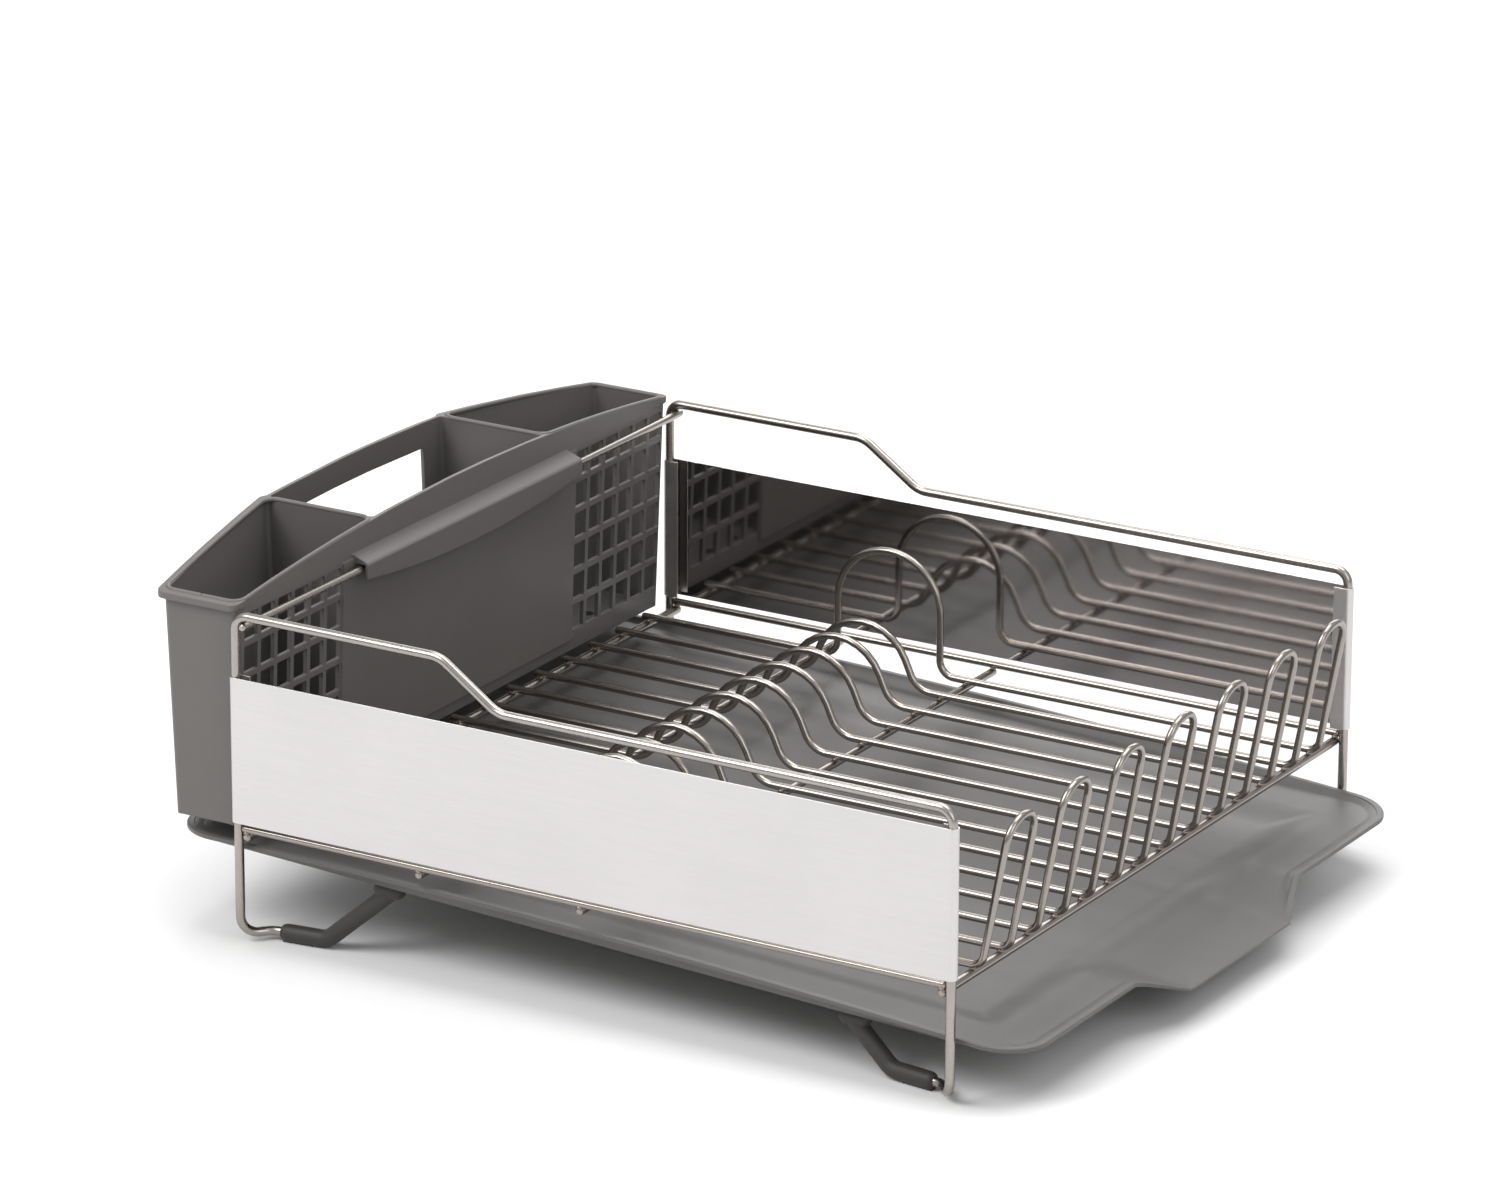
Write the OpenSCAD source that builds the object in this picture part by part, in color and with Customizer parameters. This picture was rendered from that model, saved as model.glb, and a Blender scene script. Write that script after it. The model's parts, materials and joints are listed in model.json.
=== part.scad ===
// Wire dish drying rack with a sliding drip tray and a hanging utensil caddy.
// X runs from the caddy to the pouring spout, Y across the rack, Z up from the counter.

/* [Frame] */
// Distance between the back and front legs, centre to centre
frame_l = 377; // [300:1:460]
// Distance between the two side frames, centre to centre
frame_w = 380; // [280:1:480]
// Height of the side frame's high rail above the counter
frame_h = 160.6; // [140:0.2:220]
// Drop from the high rail to the low rail
rail_drop = 21.5; // [10:0.5:40]
// Length of the high rail, measured from the back leg
rail_high_l = 111.5; // [60:0.5:160]
// Length of the slope between the two rails
rail_slope_l = 31; // [20:0.5:60]
// Diameter of the side frame's wire
frame_d = 4.5; // [3:0.1:8]
// Bend radius at the frame's top corners
corner_r = 7; // [5:0.5:20]
// Bend radius where the high rail slopes down
rail_bend_r = 16; // [8:0.5:30]
// Bend radius at the bottom of a leg
leg_bend_r = 9; // [6:0.5:12]
// Depth that crossing wires melt into each other at a weld
weld = 0.08; // [0:0.01:0.15]
// Swelling of a wire's radius where it is bent
swell = 0.02; // [0.01:0.005:0.05]

/* [Feet] */
// Length of a foot along the rack, from the leg to the rising bend
foot_l = 38; // [34:0.5:60]
// How far a foot has turned inward where it starts to rise
foot_in = 15.5; // [13:0.5:25]
// Distance along the rack from the leg to the crank in the foot
crank_x = 10; // [8:0.5:14]
// How far the foot has turned inward at its crank
crank_in = 12; // [10:0.5:13]
// How far inward the foot's tip stands
tip_in = 18.5; // [14:0.5:28]
// Angle at which the foot wire climbs toward the drip tray
foot_rise_a = 41; // [30:1:55]
// Outside diameter of the rubber foot sleeve
sleeve_d = 8.4; // [6:0.1:12]
// Length of frame wire left bare between the crank and the sleeve
sleeve_gap = 4.4; // [4.2:0.1:8]
// Clearance between a sleeve's bore and the frame wire
sleeve_fit = 0.02; // [0.01:0.01:0.1]
// Width of the flat sole moulded along the underside of a sleeve
sole_w = 3.6; // [2:0.1:5]
// How far the sole stands proud of the round sleeve
sole_t = 0.15; // [0.1:0.05:0.5]
// Length of the sole
sole_l = 16; // [8:0.5:18]
// Bend radius of the foot wire and its sleeve
foot_bend_r = 10; // [6:0.5:12]
// Bend radius where the foot wire levels out under the tray
tip_bend_r = 5; // [3:0.5:6]
// Length of level wire at the foot's tip
tip_l = 3; // [2.5:0.1:6]
// Diameter of the sleeve's closed head under the tray
head_d = 8.8; // [6.4:0.1:12.4]
// Length of the sleeve's head on the side of the rack's middle
head_out = 6; // [5:0.1:10]
// Length of the sleeve's head on the side of the leg
head_back = 10.4; // [6:0.1:14]

/* [Rack floor] */
// Height of the floor wires above the counter
floor_z = 57; // [50:0.5:90]
// Diameter of the floor wires and base rails
floor_d = 3.6; // [2.5:0.1:6]
// Distance between neighbouring floor wires
wire_pitch = 25; // [20:0.25:30]
// Number of hairpin pairs across the rack
pair_count = 7; // [3:1:9]
// Diameter of the two cross wires under the floor
cross_d = 4; // [3:0.1:6]
// Diameter of the end wires that join the legs
end_d = 4.5; // [3:0.1:6]
// Distance from the back leg to the first cross wire
cross_1_x = 99; // [60:0.5:140]
// Distance from the back leg to the second cross wire
cross_2_x = 185.5; // [160:0.5:240]
// How far the floor wires reach behind the back end wire
floor_tail = 3.5; // [3:0.5:8]
// How far a cross wire reaches past the side frame
cross_tail = 1.2; // [0.5:0.1:4]

/* [Humps] */
// Height of the plate humps above the floor wires
hump_h = 29.6; // [15:0.2:45]
// Radius at the top of a hump
hump_r = 26; // [15:0.5:40]
// Radius at the foot of a hump
hump_base_r = 13; // [6:0.5:20]
// Steepest angle of a hump's side
hump_a = 66; // [50:1:75]
// Height of the tall hoop at the far side
hoop_h = 58.6; // [40:0.2:90]
// Half the width of the tall hoop
hoop_r = 28.8; // [18:0.2:36]
// Radius at the foot of the tall hoop
hoop_base_r = 8; // [5:0.5:12]

/* [Hairpins] */
// Height of a hairpin above the floor wires
pin_h = 69.8; // [40:0.2:100]
// Outward lean of the hairpins
pin_lean = 10.6; // [0:0.2:20]
// Bend radius where a floor wire turns up into a hairpin
pin_bend_r = 6; // [5:0.5:12]

/* [Side panels] */
// Height of a side panel
panel_h = 71; // [40:0.5:90]
// Gap between the base rail and the panel
panel_gap = 1.2; // [0.5:0.1:4]
// Sheet thickness
panel_t = 0.7; // [0.5:0.1:1.5]
// Length of the hem that turns in past the leg's centre
panel_hem = 6; // [3:0.5:12]
// Clearance between the curled sheet and the leg
panel_clear = 0.02; // [0.01:0.01:0.1]

/* [Back rail] */
// Diameter of the rail that carries the caddy
back_d = 3.8; // [3:0.1:6]
// How far the back rail reaches past the side frame
back_tail = 2.6; // [0.5:0.1:5]

/* [Drip tray] */
// How far the tray reaches behind the back legs
tray_back = 44; // [20:0.5:80]
// How far the tray's rim reaches in front of the front legs
tray_front = 34; // [15:0.5:80]
// Slope of the tray toward its spout
tray_tilt = 2.45; // [0:0.05:4]
// Side clearance between the tray's rim and the legs
tray_clear = 2; // [1:0.1:6]
// Height of the rim above the side ledges at the tray's ends
tray_h = 3.4; // [3:0.2:20]
// Extra height of the rim at the middle of the tray's length
tray_crown = 4.5; // [0:0.1:10]
// Thickness of the tray
tray_t = 2; // [1.5:0.1:3]
// Inward lean of the wall between the rim and the ledges
tray_flare = 3; // [1:0.2:5]
// Width of the turned-out rim
tray_lip = 1.2; // [0.5:0.1:3]
// Thickness of the turned-out rim
tray_lip_h = 2.2; // [1:0.1:2.6]
// Corner radius of the tray
tray_corner = 24; // [10:0.5:40]
// Width of the ledge that runs round the basin
ledge_w = 23; // [20:0.5:40]
// Depth of the basin below the ledges
basin_d = 5; // [2:0.2:8]
// Inward lean of the basin's wall over its depth
basin_flare = 24; // [1:1:36]
// Running gap between the tray and the heads it rests on
tray_run = 0.3; // [0.2:0.05:1]
// Width of the spout where it leaves the rim
spout_w = 158; // [80:1:240]
// Width of the spout's pouring edge
spout_edge_w = 98; // [40:1:160]
// How far the spout reaches past the rim
spout_l = 12; // [6:0.5:30]
// How far the pouring edge drops below the ledges
spout_drop = 8.6; // [6:0.2:14]
// Length of tray floor that slopes down into the spout
spout_run = 48; // [30:1:60]

/* [Utensil caddy] */
// Depth of the caddy at its ends
caddy_end_d = 43.5; // [25:0.5:60]
// Depth of the caddy at its middle
caddy_mid_d = 62; // [40:0.5:90]
// Height of the caddy at its ends
caddy_h = 109.6; // [80:0.2:140]
// Extra height of the rim at the middle of the caddy
caddy_rise = 12; // [0:0.5:25]
// Height of the caddy's underside above the counter
caddy_z = 55.3; // [45:0.1:90]
// Wall thickness of the caddy
caddy_t = 2.2; // [1.5:0.1:4]
// Draft of the front wall from top to bottom
caddy_draft = 4; // [0:0.5:8]
// Distance from the caddy's middle to each partition
cup_y = 75; // [50:1:110]
// Side clearance between the caddy and the legs
caddy_clear = 1.2; // [0.5:0.1:4]
// Gap between the caddy's front wall and the back rail
rail_clear = 2.9; // [1.8:0.1:5]
// How far a cup's rim stands out behind and over the partition
cup_lip = 2; // [1:0.1:4]
// How far a cup's rim stands out over the side frame
end_lip = 3.4; // [1:0.1:4]
// Height of a cup's rim
cup_lip_h = 3.4; // [2:0.1:6]
// Corner radius of the caddy
caddy_corner = 4; // [3:0.5:8]

/* [Grilles and hook] */
// Grille columns in each cup
grille_cols = 6; // [3:1:8]
// Grille rows in each cup
grille_rows = 6; // [3:1:8]
// Width of the upright grille bars
bar_w = 2.8; // [1.5:0.1:5]
// Height of the level grille bars
bar_h = 3; // [1.5:0.1:5]
// Distance from the caddy's middle to the grilles
grille_y = 103; // [90:1:120]
// Width of the plain border beside a grille
grille_edge = 4.5; // [3:0.5:12]
// Height of the first grille row above the caddy's underside
grille_low = 10.5; // [6:0.5:20]
// Height of the grille
grille_h = 92.4; // [60:0.5:120]
// How far the plain middle panel stands out
pad_t = 1.2; // [0.5:0.1:3]
// Half the length of the hook over the back rail
hook_y = 94; // [60:1:100]
// Running gap between the hook and the back rail
hook_clear = 0.4; // [0.3:0.05:1]
// Thickness of the hook
hook_t = 1.8; // [1.5:0.1:4]
// Height of the hook's flap at its middle
flap_h = 15; // [10:0.5:30]
// Height taken off the flap toward its ends
flap_rise = 6.5; // [0:0.5:15]
// Height of the band above the handle slot
band_h = 13; // [8:0.5:20]
// Height of the handle slot
slot_h = 24; // [15:0.5:40]
// Half the length of the handle slot
slot_y = 58; // [30:1:68]

/* [Hidden] */
$fn = 32;
eps = 0.01;
lap = 0.3;
flat_top = 0.5;
frame_r = frame_d / 2;
floor_r = floor_d / 2;
side_y = frame_w / 2;
low_rail_z = frame_h - rail_drop;
// rack floor: cross wires hang under the floor wires, welded to them
end_z = floor_z - floor_r - end_d / 2 + weld;
cross_z = floor_z - floor_r - cross_d / 2 + weld;
end_in = frame_r + end_d / 2 - weld;
tail_x = end_in - floor_tail;
pair_gap = 2 * wire_pitch;
hump_x = (cross_1_x + cross_2_x) / 2;
// feet: the sleeves stand on the counter
foot_z = sleeve_d / 2 + sole_t;
foot_y = side_y - foot_in;
panel_z = floor_z + floor_r + panel_gap;
// back rail: tucked into the inside of the frame's top corner
back_off = (corner_r - frame_r - back_d / 2 + weld) / sqrt(2);
back_x = corner_r - back_off;
back_z = frame_h - corner_r + back_off;
// drip tray: its ledges lie parallel to the four heads it rests on
tray_l = tray_back + frame_l + tray_front;
tray_w = 2 * (side_y - frame_r - tray_clear);
tray_z = 39.8;
slope = tan(tray_tilt);
// height of the ledges' underside, and of a foot's tip, at a distance x from the back leg
function under_z(x) = tray_z - slope * (x - 64);
function tip_z(x) = under_z(x) - (head_d / 2 + tray_run) / cos(tray_tilt);
tip_y = side_y - tip_in;
back_rise_x = foot_l + (tip_z(foot_l) - foot_z) / (tan(foot_rise_a) + slope);
front_foot_x = frame_l - foot_l;
front_rise_x = front_foot_x
    - (tip_z(front_foot_x) - foot_z) / (tan(foot_rise_a) - slope);
// utensil caddy: hangs behind the back rail, between the legs
caddy_front = back_x - back_d / 2 - rail_clear;
caddy_y = side_y - frame_r - caddy_clear;
rim_z = caddy_z + caddy_h;
arch_top = rim_z + caddy_rise;
grille_w = caddy_y - grille_edge - grille_y;
col_pitch = (grille_w + bar_w) / grille_cols;
row_pitch = (grille_h + bar_h) / grille_rows;
hook_gap_x = back_x + back_d / 2 + hook_clear;
hook_gap_z = back_z + back_d / 2 + hook_clear;
// overall length, used to centre the object on its origin
rear_x = caddy_front - caddy_mid_d - cup_lip;
tip_x = frame_l + tray_front + spout_l;
shift_x = -(rear_x + tip_x) / 2;

frame_color = [0.72, 0.70, 0.68];
sheet_color = [0.86, 0.86, 0.85];
wire_color = [0.62, 0.59, 0.56];
rubber_color = [0.22, 0.21, 0.21];
tray_color = [0.47, 0.46, 0.45];
caddy_color = [0.44, 0.43, 0.42];

function unit(v) = v / norm(v);
function bend_angle(p, i) = acos(max(-1, min(1,
    unit(p[i] - p[i - 1]) * unit(p[i + 1] - p[i]))));
// length that a bend takes off each of the two straight runs that meet in it
function bend_trim(p, r, i) = (i <= 0 || i >= len(p) - 1) ? 0
    : r[i] * tan(bend_angle(p, i) / 2);

// stands what it holds at a, upright along the line toward b
module along(a, b) {
    ez = unit(b - a);
    ex = unit(cross(abs(ez[2]) > 0.9 ? [1, 0, 0] : [0, 0, 1], ez));
    ey = cross(ez, ex);
    multmatrix([[ex[0], ey[0], ez[0], a[0]],
        [ex[1], ey[1], ez[1], a[1]],
        [ex[2], ey[2], ez[2], a[2]],
        [0, 0, 0, 1]])
        children();
}

// round bar from a to b
module bar(a, b, d) {
    along(a, b) cylinder(d = d, h = norm(b - a));
}

// round bend between the runs that meet at point i of p, a hair thicker than the runs
module bend(p, i, r, d) {
    u = unit(p[i] - p[i - 1]);
    v = unit(p[i + 1] - p[i]);
    a = bend_angle(p, i);
    c = p[i] + unit(v - u) * r / cos(a / 2);
    ex = unit(p[i] - u * r * tan(a / 2) - c);
    ez = unit(cross(u, v));
    ey = cross(ez, ex);
    multmatrix([[ex[0], ey[0], ez[0], c[0]],
        [ex[1], ey[1], ez[1], c[1]],
        [ex[2], ey[2], ez[2], c[2]],
        [0, 0, 0, 1]])
        rotate_extrude(angle = a)
            translate([r, 0]) circle(d = d + 2 * swell);
}

// wire of diameter d along the points p, bent to radius r[i] at point i
module wire(p, r, d) {
    last = len(p) - 2;
    for (i = [0:last]) {
        u = unit(p[i + 1] - p[i]);
        bar(p[i] + u * (bend_trim(p, r, i) - (i > 0 ? lap : 0)),
            p[i + 1] - u * (bend_trim(p, r, i + 1) - (i < last ? lap : 0)), d);
    }
    for (i = [1:len(p) - 2]) bend(p, i, r[i], d);
}

module place() {
    translate([shift_x, 0, 0]) children();
}

// point at a distance t past the top of a foot's rise, toward the rack's middle
function tip_point(xr, way, t) = [xr + way * t, -tip_y, tip_z(xr + way * t)];

// side frame at the near side: rails, legs and feet bent from one wire
module side_frame() {
    y = -side_y;
    yc = crank_in - side_y;
    wire([tip_point(back_rise_x, 1, tip_l), tip_point(back_rise_x, 1, 0),
        [foot_l, -foot_y, foot_z], [crank_x, yc, foot_z], [0, y, foot_z],
        [0, y, frame_h], [rail_high_l, y, frame_h],
        [rail_high_l + rail_slope_l, y, low_rail_z], [frame_l, y, low_rail_z],
        [frame_l, y, foot_z], [frame_l - crank_x, yc, foot_z],
        [front_foot_x, -foot_y, foot_z], tip_point(front_rise_x, -1, 0),
        tip_point(front_rise_x, -1, tip_l)],
        [0, tip_bend_r, foot_bend_r, foot_bend_r, leg_bend_r,
        corner_r, rail_bend_r, rail_bend_r, corner_r,
        leg_bend_r, foot_bend_r, foot_bend_r, tip_bend_r, 0], frame_d);
}

module side_frame_near() {
    color(frame_color) place() side_frame();
}

module side_frame_far() {
    color(frame_color) place() mirror([0, 1, 0]) side_frame();
}

// quarter turns of sheet round one leg, hem included, with the leg's axis at the origin
module panel_curl() {
    r = frame_r + panel_clear;
    rotate([0, 0, 90]) rotate_extrude(angle = 180)
        translate([r, 0]) square([panel_t, panel_h]);
    translate([0, r, 0]) cube([panel_hem, panel_t, panel_h]);
}

module side_panel() {
    r = frame_r + panel_clear;
    translate([0, -side_y, panel_z]) {
        translate([0, -r - panel_t, 0]) cube([frame_l, panel_t, panel_h]);
        panel_curl();
        translate([frame_l, 0, 0]) mirror([1, 0, 0]) panel_curl();
    }
}

module side_panel_near() {
    color(sheet_color) place() side_panel();
}

module side_panel_far() {
    color(sheet_color) place() mirror([0, 1, 0]) side_panel();
}

// base rail between the two legs of one side
module base_rail(y) {
    x = frame_r - weld;
    bar([x, y, floor_z], [frame_l - x, y, floor_z], floor_d);
}

module base_rail_near() {
    color(wire_color) place() base_rail(-side_y);
}

module base_rail_far() {
    color(wire_color) place() base_rail(side_y);
}

module back_top_rail() {
    y = side_y + back_tail;
    color(frame_color) place() bar([back_x, -y, back_z], [back_x, y, back_z], back_d);
}

// straight wire across the rack under the floor wires
module across(x, z, d) {
    y = side_y + cross_tail;
    bar([x, -y, z], [x, y, z], d);
}

module end_wire_back() {
    color(wire_color) place() across(end_in, end_z, end_d);
}

module end_wire_front() {
    color(wire_color) place() across(frame_l - end_in, end_z, end_d);
}

module cross_wire_1() {
    color(wire_color) place() across(cross_1_x, cross_z, cross_d);
}

module cross_wire_2() {
    color(wire_color) place() across(cross_2_x, cross_z, cross_d);
}

// points of a low hump, from its back foot to its front foot
function hump_points(y) =
    let (peak = hump_h + hump_r / cos(hump_a) - hump_r,
        half = peak / tan(hump_a))
    [[hump_x - half, y, floor_z], [hump_x, y, floor_z + peak],
    [hump_x + half, y, floor_z]];
hump_radii = [hump_base_r, hump_r, hump_base_r];

// points of the tall hoop, with its two top corners rounded into one half circle
function hoop_points(y) = [[hump_x - hoop_r, y, floor_z],
    [hump_x - hoop_r, y, floor_z + hoop_h], [hump_x + hoop_r, y, floor_z + hoop_h],
    [hump_x + hoop_r, y, floor_z]];
hoop_radii = [hoop_base_r, hoop_r - flat_top, hoop_r - flat_top, hoop_base_r];

function reversed(v) = [for (i = [len(v) - 1:-1:0]) v[i]];

// two floor wires in one: back end, hump, hairpin, hump, back end
module floor_pair(k) {
    yc = (k - (pair_count + 1) / 2) * pair_gap;
    ya = yc - wire_pitch / 2;
    yb = yc + wire_pitch / 2;
    lean = pin_h * tan(pin_lean);
    last = k == pair_count;
    far_hump = last ? hoop_points(yb) : hump_points(yb);
    far_radii = last ? hoop_radii : hump_radii;
    half_turn = wire_pitch / 2 - flat_top;
    p = concat([[tail_x, ya, floor_z]], hump_points(ya),
        [[frame_l, ya, floor_z], [frame_l + lean, ya, floor_z + pin_h],
        [frame_l + lean, yb, floor_z + pin_h], [frame_l, yb, floor_z]],
        reversed(far_hump), [[tail_x, yb, floor_z]]);
    r = concat([0], hump_radii, [pin_bend_r, half_turn, half_turn, pin_bend_r],
        far_radii, [0]);
    wire(p, r, floor_d);
}

module floor_pair_1() {
    color(wire_color) place() floor_pair(1);
}

module floor_pair_2() {
    color(wire_color) place() floor_pair(2);
}

module floor_pair_3() {
    color(wire_color) place() floor_pair(3);
}

module floor_pair_4() {
    color(wire_color) place() floor_pair(4);
}

module floor_pair_5() {
    color(wire_color) place() floor_pair(5);
}

module floor_pair_6() {
    color(wire_color) place() floor_pair(6);
}

module floor_pair_7() {
    color(wire_color) place() floor_pair(7);
}

// start of a sleeve's centre line, moved back by lead
function sleeve_start(x0, way, lead) =
    let (crank = [x0 + way * crank_x, crank_in - side_y, foot_z],
        low = [x0 + way * foot_l, -foot_y, foot_z])
    crank + unit(low - crank) * (sleeve_gap - lead);

// closed head of a sleeve, parallel to the tray
module sleeve_head(xr, way) {
    a = tip_point(xr, way, head_d / 2 - head_back);
    b = tip_point(xr, way, head_out - head_d / 2);
    bar(a, b, head_d);
    along(a, b) sphere(d = head_d + 2 * swell);
    along(b, a) sphere(d = head_d + 2 * swell);
}

// flat sole along the straight run from p toward q
module sleeve_sole(p, q) {
    u = unit(q - p);
    translate([p[0], p[1], 0])
        rotate([0, 0, atan2(u[1], u[0])])
            translate([1, -sole_w / 2, 0]) cube([sole_l, sole_w, 1.2]);
}

module foot_sleeve(x0, way, xr) {
    low = [x0 + way * foot_l, -foot_y, foot_z];
    high = tip_point(xr, way, 0);
    difference() {
        union() {
            wire([sleeve_start(x0, way, 0), low, high],
                [0, foot_bend_r, 0], sleeve_d);
            sleeve_head(xr, way);
            sleeve_sole(sleeve_start(x0, way, 0), low);
        }
        wire([sleeve_start(x0, way, 1), low, high, tip_point(xr, way, tip_l + 0.2)],
            [0, foot_bend_r, tip_bend_r, 0], frame_d + 2 * sleeve_fit);
    }
}

module foot_sleeve_near_back() {
    color(rubber_color) place() foot_sleeve(0, 1, back_rise_x);
}

module foot_sleeve_near_front() {
    color(rubber_color) place() foot_sleeve(frame_l, -1, front_rise_x);
}

module foot_sleeve_far_back() {
    color(rubber_color) place() mirror([0, 1, 0])
        foot_sleeve(0, 1, back_rise_x);
}

module foot_sleeve_far_front() {
    color(rubber_color) place() mirror([0, 1, 0])
        foot_sleeve(frame_l, -1, front_rise_x);
}

corner_steps = 8;
// corner points of a rectangle from x = a to x = b, w wide, rounded by r
function rounded(a, b, w, r) = [for (c = [0:3], k = [0:corner_steps])
    let (t = 90 * (c + k / corner_steps),
        x = (c == 0 || c == 3) ? b - r : a + r,
        y = (c < 2 ? 1 : -1) * (w / 2 - r))
    [x + r * cos(t), y + r * sin(t)]];

// slab with the tray's outline at height z, taken in by inset
module tray_slab(inset, z, h = eps) {
    translate([0, 0, z]) linear_extrude(height = h)
        polygon(rounded(inset, tray_l - inset, tray_w - 2 * inset,
            max(tray_corner - inset * 0.7, 4)));
}

tall = tray_h + tray_crown + 2;
// height of the rim above the underside at a distance x from the tray's back end
function tray_rim(x) = tray_h
    + tray_crown * (1 - pow(2 * x / tray_l - 1, 2));
rim_steps = 16;
rim_curve = [for (i = [0:rim_steps]) [i / rim_steps * tray_l,
    tray_rim(i / rim_steps * tray_l)]];

// side view between the rim line lowered by a and a level floor below
module rim_prism(a, extra) {
    rotate([90, 0, 0])
        linear_extrude(height = tray_w + 20, center = true)
            polygon(concat([for (q = rim_curve) [q[0], q[1] - a]],
                [[tray_l + extra, tray_rim(tray_l) - a], [tray_l + extra, -20],
                [-extra, -20], [-extra, tray_rim(0) - a]]));
}

// marks at the corners of the spout, raised by up; its edge reaches past the rim
module spout_marks(up, reach) {
    h = tray_rim(tray_l) + up;
    w = spout_w / 2 - up;
    e = spout_edge_w / 2 - up;
    for (s = [-1, 1]) {
        translate([tray_l - spout_run, s * e, up - basin_d]) cube(eps);
        translate([tray_l - spout_run, s * w, h]) cube(eps);
        translate([tray_l - tray_lip, s * w, h - 0.6]) cube(eps);
        translate([tray_l + reach, s * e, up - spout_drop])
            cube([eps, eps, tray_t * 0.6]);
    }
}

// basin below the ledges, with its wall taken in by m and its floor raised by m
module basin(m) {
    hull() {
        tray_slab(ledge_w + m, tray_t * 0.5 + m * 0.6);
        tray_slab(ledge_w + basin_flare + m, m - basin_d);
    }
}

module tray_form() {
    difference() {
        union() {
            intersection() {
                hull() {
                    tray_slab(tray_flare + tray_lip, 0);
                    tray_slab(tray_lip, tray_h);
                    tray_slab(tray_lip, tall);
                }
                rim_prism(0, 1);
            }
            intersection() {
                tray_slab(0, 0, tall);
                difference() {
                    rim_prism(0, 1);
                    rim_prism(tray_lip_h, 2);
                }
            }
            basin(0);
            intersection() {
                hull() spout_marks(0, spout_l);
                rim_prism(0, 40);
            }
        }
        hull() {
            tray_slab(tray_flare + tray_lip + tray_t, tray_t);
            tray_slab(tray_lip + tray_t, tray_h + tray_t);
            tray_slab(tray_lip + tray_t, tall + tray_t);
        }
        basin(tray_t);
        hull() {
            spout_marks(tray_t, spout_l + 1);
            translate([0, 0, 12]) spout_marks(tray_t, spout_l + 1);
        }
    }
}

module drip_tray() {
    color(tray_color) place()
        translate([-tray_back, 0, under_z(-tray_back)])
            rotate([0, tray_tilt, 0]) tray_form();
}

// height of the caddy's top edge at a distance y from its middle
function arch_z(y) = arch_top - caddy_rise * pow(y / caddy_y, 2);
arch_steps = 20;

// everything under the arch lowered by a, seen from the front
module arch_prism(a) {
    reach = caddy_y + 10;
    translate([-caddy_mid_d * 2, 0, 0]) rotate([90, 0, 90])
        linear_extrude(height = caddy_mid_d * 4)
            polygon(concat([for (i = [-arch_steps:arch_steps])
                [i / arch_steps * reach, arch_z(i / arch_steps * reach) - a]],
                [[reach, 0], [-reach, 0]]));
}

// a share of the height above the caddy's underside, for the draft
function share(z) = (z - caddy_z) / caddy_h;
function wall_front(z) = caddy_front - caddy_draft * (1 - share(z));
function wall_end(z) = caddy_front - caddy_end_d + caddy_draft * (1 - share(z));
function wall_mid(z) = caddy_front - caddy_mid_d + caddy_draft * (1 - share(z));
function wall_y(z) = caddy_y - 1 * (1 - share(z));

// discs of radius r at the plan corners c, at height z
module posts(c, r, z) {
    for (q = c) translate([q[0], q[1], z]) cylinder(r = r, h = eps);
}

// plan corners at height z, taken in by m
function body_corners(z, m) = [[wall_front(z) - m, wall_y(z) - m],
    [wall_front(z) - m, m - wall_y(z)], [wall_end(z) + m, m - wall_y(z)],
    [wall_mid(z) + m, -cup_y], [wall_mid(z) + m, cup_y],
    [wall_end(z) + m, wall_y(z) - m]];
function cup_corners(z, m) = [[wall_front(z) - m, wall_y(z) - m],
    [wall_end(z) + m, wall_y(z) - m], [wall_mid(z) + m, cup_y + m - caddy_t / 2],
    [wall_front(z) - m, cup_y + m - caddy_t / 2]];
function middle_corners(z, m) = [[wall_front(z) - m, cup_y - m + caddy_t / 2],
    [wall_front(z) - m, m - cup_y - caddy_t / 2],
    [wall_mid(z) + m, m - cup_y - caddy_t / 2],
    [wall_mid(z) + m, cup_y - m + caddy_t / 2]];

above = arch_top + 5;
inner_r = caddy_corner - caddy_t;

module cup_space() {
    m = caddy_t + inner_r;
    hull() {
        posts(cup_corners(caddy_z + caddy_t, m), inner_r, caddy_z + caddy_t);
        posts(cup_corners(above, m), inner_r, above);
    }
}

module middle_space() {
    m = caddy_t + inner_r;
    hull() {
        posts(middle_corners(caddy_z + caddy_t, m), inner_r, caddy_z + caddy_t);
        posts(middle_corners(above, m), inner_r, above);
    }
}

module caddy_walls() {
    intersection() {
        hull() {
            posts(body_corners(caddy_z, caddy_corner), caddy_corner, caddy_z);
            posts(body_corners(above, caddy_corner), caddy_corner, above);
        }
        arch_prism(0);
    }
}

// plan corners of a cup's rim, taken in by m
function rim_corners(z, m) = [[wall_front(z) - m, wall_y(z) + end_lip - m],
    [wall_end(z) - cup_lip + m, wall_y(z) + end_lip - m],
    [wall_mid(z) - cup_lip + m, cup_y - caddy_t / 2 - cup_lip + m],
    [wall_front(z) - m, cup_y - caddy_t / 2 - cup_lip + m]];

module cup_rim() {
    intersection() {
        hull() {
            posts(rim_corners(rim_z, caddy_corner + 1), caddy_corner + 1, rim_z - 9);
            posts(rim_corners(rim_z, caddy_corner + 1), caddy_corner + 1, above);
        }
        difference() {
            arch_prism(0);
            arch_prism(cup_lip_h);
        }
    }
}

module grille_holes() {
    for (c = [0:grille_cols - 1], r = [0:grille_rows - 1])
        translate([caddy_front - 14, grille_y + c * col_pitch,
            caddy_z + grille_low + r * row_pitch])
            cube([20, col_pitch - bar_w, row_pitch - bar_h]);
}

// plain middle panel, proud of the grilles on either side
module middle_pad() {
    low = caddy_z + 6;
    top = hook_gap_z + 2.5;
    rotate([90, 0, 0]) linear_extrude(height = 2 * grille_y - 2, center = true)
        polygon([[wall_front(low) - 1, low], [wall_front(low) + pad_t, low],
            [wall_front(top) + pad_t, top], [wall_front(top) - 1, top]]);
}

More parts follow.
